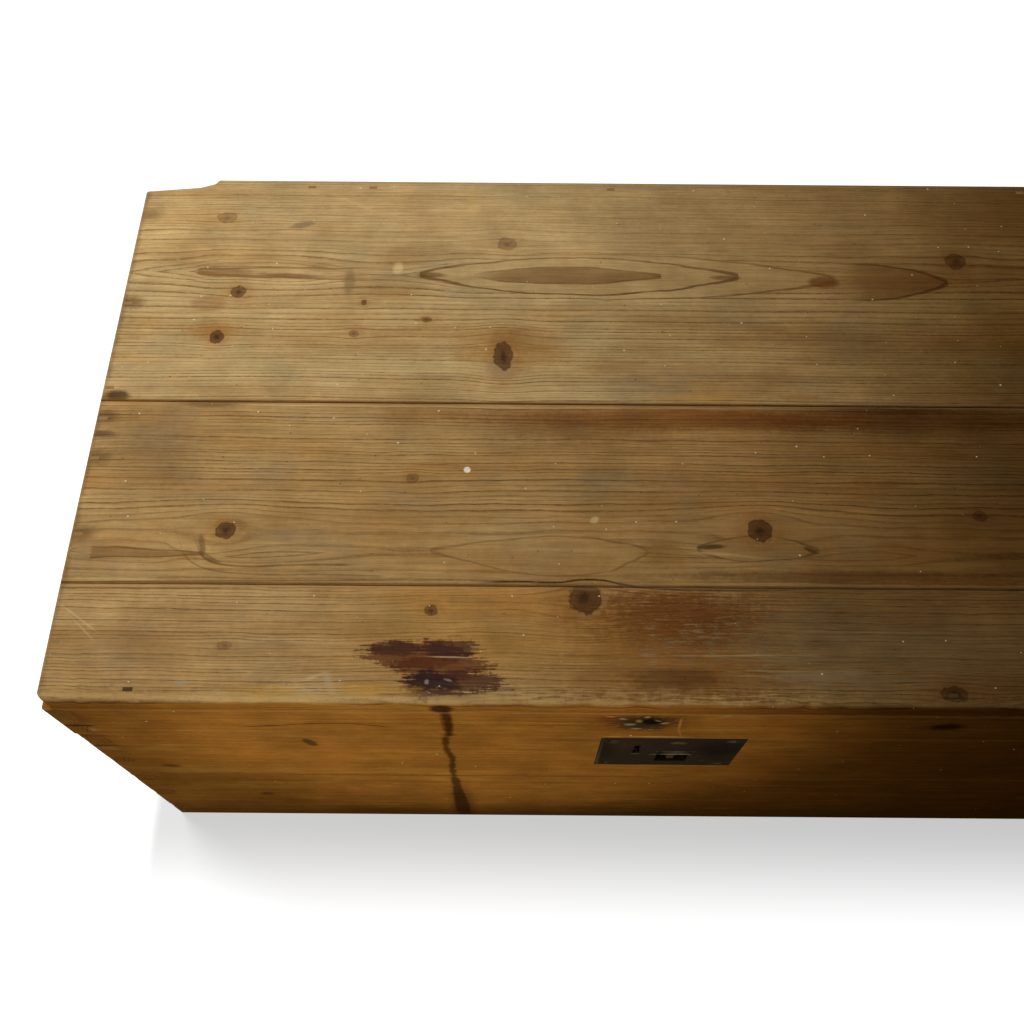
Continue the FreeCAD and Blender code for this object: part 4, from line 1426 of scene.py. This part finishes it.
def setAtOrigin(piece):
    selectOnly(piece)
    bpy.ops.object.transform_apply(location=True, rotation=True, scale=True)


def joinPieces(pieces):
    selectOnly(*pieces)
    bpy.ops.object.join()
    return pieces[0]


def outwardAndSmooth(piece):
    startEdit(piece)
    bpy.ops.mesh.remove_doubles(threshold=0.000005)
    bpy.ops.mesh.normals_make_consistent(inside=False)
    endEdit()
    bpy.ops.object.shade_smooth_by_angle(angle=math.radians(softening["smoothAngle"]))


# End handles: a forged bail that hangs from two eyes
handle = {
    "axisX": 0.470,
    "axisZ": 0.205,
    "stubY": 0.0483,
    "armY": 0.0632,
    "bar": 0.0038,
    "shoulderBend": 0.0042,
    "cornerBend": 0.015,
    "drop": 0.045,
    "swell": ((0.036, 1.07), (0.026, 1.10), (0.017, 1.10), (0.008, 1.01), (0.0, 1.0)),
    "eyeY": 0.055,
    "ringRadius": 0.0070,
    "ringBar": 0.00262,
    "ringStretch": 1.45,
    "shankEnds": (0.4654, 0.4422),
    "shankWidth": 0.0058,
    "clenchEnds": (0.4419, 0.4401),
    "clenchWidth": 0.0148,
}


def addBail(side, nodeName, pieceName):
    axisX = side * handle["axisX"]
    axisZ = handle["axisZ"]
    armY = handle["armY"]
    shoulder = handle["shoulderBend"]
    corner = handle["cornerBend"]
    armFoot = axisZ - handle["drop"] + corner
    bpy.ops.mesh.primitive_circle_add(vertices=16, radius=handle["bar"], fill_type="NGON",
                                      location=(axisX, handle["stubY"], axisZ),
                                      rotation=(math.radians(-90), 0, 0))
    piece = bpy.context.active_object
    piece.name = pieceName
    setAtOrigin(piece)
    startEdit(piece)
    pushOut(0, armY - shoulder - handle["stubY"], 0)
    bendRound((axisX, armY - shoulder, axisZ - shoulder), (-1, 0, 0), 90, 5)
    pushOut(0, 0, armFoot - axisZ + shoulder)
    bendRound((axisX, armY - corner, armFoot), (-1, 0, 0), 90, 7)
    here = armY - corner
    gripZ = axisZ - handle["drop"]
    for y, factor in handle["swell"]:
        pushOut(0, y - here, 0)
        thicken((axisX, y, gripZ), factor, "y")
        here = y
    bpy.ops.mesh.delete(type="ONLY_FACE")
    endEdit()
    half = piece.modifiers.new("half", "MIRROR")
    half.use_axis = (False, True, False)
    half.merge_threshold = 0.0001
    rounded = piece.modifiers.new("ends", "BEVEL")
    rounded.width = 0.0008
    rounded.segments = 2
    rounded.angle_limit = math.radians(50)
    applyAll(piece)
    outwardAndSmooth(piece)
    finishPiece(piece, nodeName, blackIron)


def addBar(ends, y, z, width, arris):
    # A square bar along x between two places, with soft arrises
    low, high = sorted(ends)
    middle = ((low + high) / 2, y, z)
    bpy.ops.mesh.primitive_cube_add(size=1.0, location=middle, scale=(high - low, width, width))
    bar = bpy.context.active_object
    setAtOrigin(bar)
    startEdit(bar)
    bpy.ops.mesh.bevel(offset=arris, segments=2, affect="EDGES")
    endEdit()
    return bar


def addEyes(side, nodeName, pieceName):
    pieces = []
    for way in (-1, 1):
        centre = (side * handle["axisX"], way * handle["eyeY"], handle["axisZ"])
        bpy.ops.mesh.primitive_torus_add(location=centre, rotation=(math.radians(90), 0, 0),
                                         major_segments=32, minor_segments=12,
                                         major_radius=handle["ringRadius"], minor_radius=handle["ringBar"])
        ring = bpy.context.active_object
        setAtOrigin(ring)
        startEdit(ring)
        bpy.ops.transform.resize(value=(1, handle["ringStretch"], 1), center_override=centre)
        endEdit()
        pieces.append(ring)
        for part, arris in (("shank", 0.0006), ("clench", 0.0005)):
            ends = [side * end for end in handle[part + "Ends"]]
            pieces.append(addBar(ends, centre[1], centre[2], handle[part + "Width"], arris))
    piece = joinPieces(pieces)
    piece.name = pieceName
    outwardAndSmooth(piece)
    finishPiece(piece, nodeName, blackIron)


for side, word in ((-1, "left"), (1, "right")):
    addEyes(side, "handle_" + word + "_eyes", word + "Eyes")
    addBail(side, "handle_" + word + "_bail", word + "Bail")
print("end handles are in")

# Hinge screws with slotted heads
screw = {
    "hingeAt": (-0.310, 0.310),
    "alongHinge": (-0.02048, 0.0, 0.02048),
    "y": 0.2375,
    "headZ": 0.296,
    "headRadius": 0.0035,
    "levels": ((0.0024, 0.5), (0.0085, 1.0), (0.0039, 0.45)),
    "slot": (0.0009, 0.009, 0.0022),
    "turns": (12, 71, 133, 38, 96, 160),
}


def addScrews(way, nodeName, pieceName):
    screws = []
    cutters = []
    for hingeX in screw["hingeAt"]:
        for offset in screw["alongHinge"]:
            x = hingeX + offset
            z = screw["headZ"]
            bpy.ops.mesh.primitive_circle_add(vertices=20, radius=screw["headRadius"], fill_type="NGON",
                                              location=(x, screw["y"], z))
            shank = bpy.context.active_object
            setAtOrigin(shank)
            startEdit(shank)
            for depth, factor in screw["levels"]:
                pushOut(0, 0, way * depth)
                z = z + way * depth
                thicken((x, screw["y"], z), factor, "z")
            endEdit()
            screws.append(shank)
            turn = math.radians(screw["turns"][len(cutters)])
            bpy.ops.mesh.primitive_cube_add(size=1.0, location=(x, screw["y"], screw["headZ"]),
                                            rotation=(0, 0, turn), scale=screw["slot"])
            cutters.append(bpy.context.active_object)
    piece = joinPieces(screws)
    piece.name = pieceName
    outwardAndSmooth(piece)
    cutter = joinPieces(cutters)
    slots = piece.modifiers.new("slots", "BOOLEAN")
    slots.operation = "DIFFERENCE"
    slots.object = cutter
    applyAll(piece)
    bpy.data.objects.remove(cutter)
    outwardAndSmooth(piece)
    finishPiece(piece, nodeName, rustyIron)


addScrews(-1, "hinge_body_screws", "hingeBodyScrews")
addScrews(1, "hinge_lid_screws", "hingeLidScrews")
print("hinge screws are in")

# Iron that keeps the shape of its solid, with its sharp edges taken off
agedBrass = ironMaterial("agedBrass", 0.3, brass)
nailIron = ironMaterial("nailIron", 0.5, nailHead)
frontNailIron = ironMaterial("frontNailIron", 0.5, frontNailHead)
dressed = {
    "lock_plate": (0.0005, plateIron),
    "lock_plate_nails": (0.0003, rustyIron),
    "lock_rivet": (0.0003, rustyIron),
    "lock_case": (0.0004, rustyIron),
    "lock_bolt": (0.0005, agedBrass),
    "lock_keeper": (0.0003, blackIron),
    "lock_key_pin": (0.0002, blackIron),
    "lock_spring": (0.0001, blackIron),
    "lid_nails_front": (0.0001, frontNailIron),
    "lid_nails_back": (0.0001, nailIron),
    "lid_nails_ends": (0.0001, nailIron),
    "bottom_nails": (0.0003, rustyIron),
}
for side in ("left", "right"):
    dressed["hinge_" + side + "_body_leaf"] = (0.0003, blackIron)
    dressed["hinge_" + side + "_lid_leaf"] = (0.0003, blackIron)
    dressed["hinge_" + side + "_pin"] = (0.0004, blackIron)
for nodeName, (width, material) in dressed.items():
    piece = copyOfNode(nodeName)
    softenEdges(piece, width, evenly=nodeName != "lock_plate")
    finishPiece(piece, nodeName, material)
print("lock, nails and hinges are in")
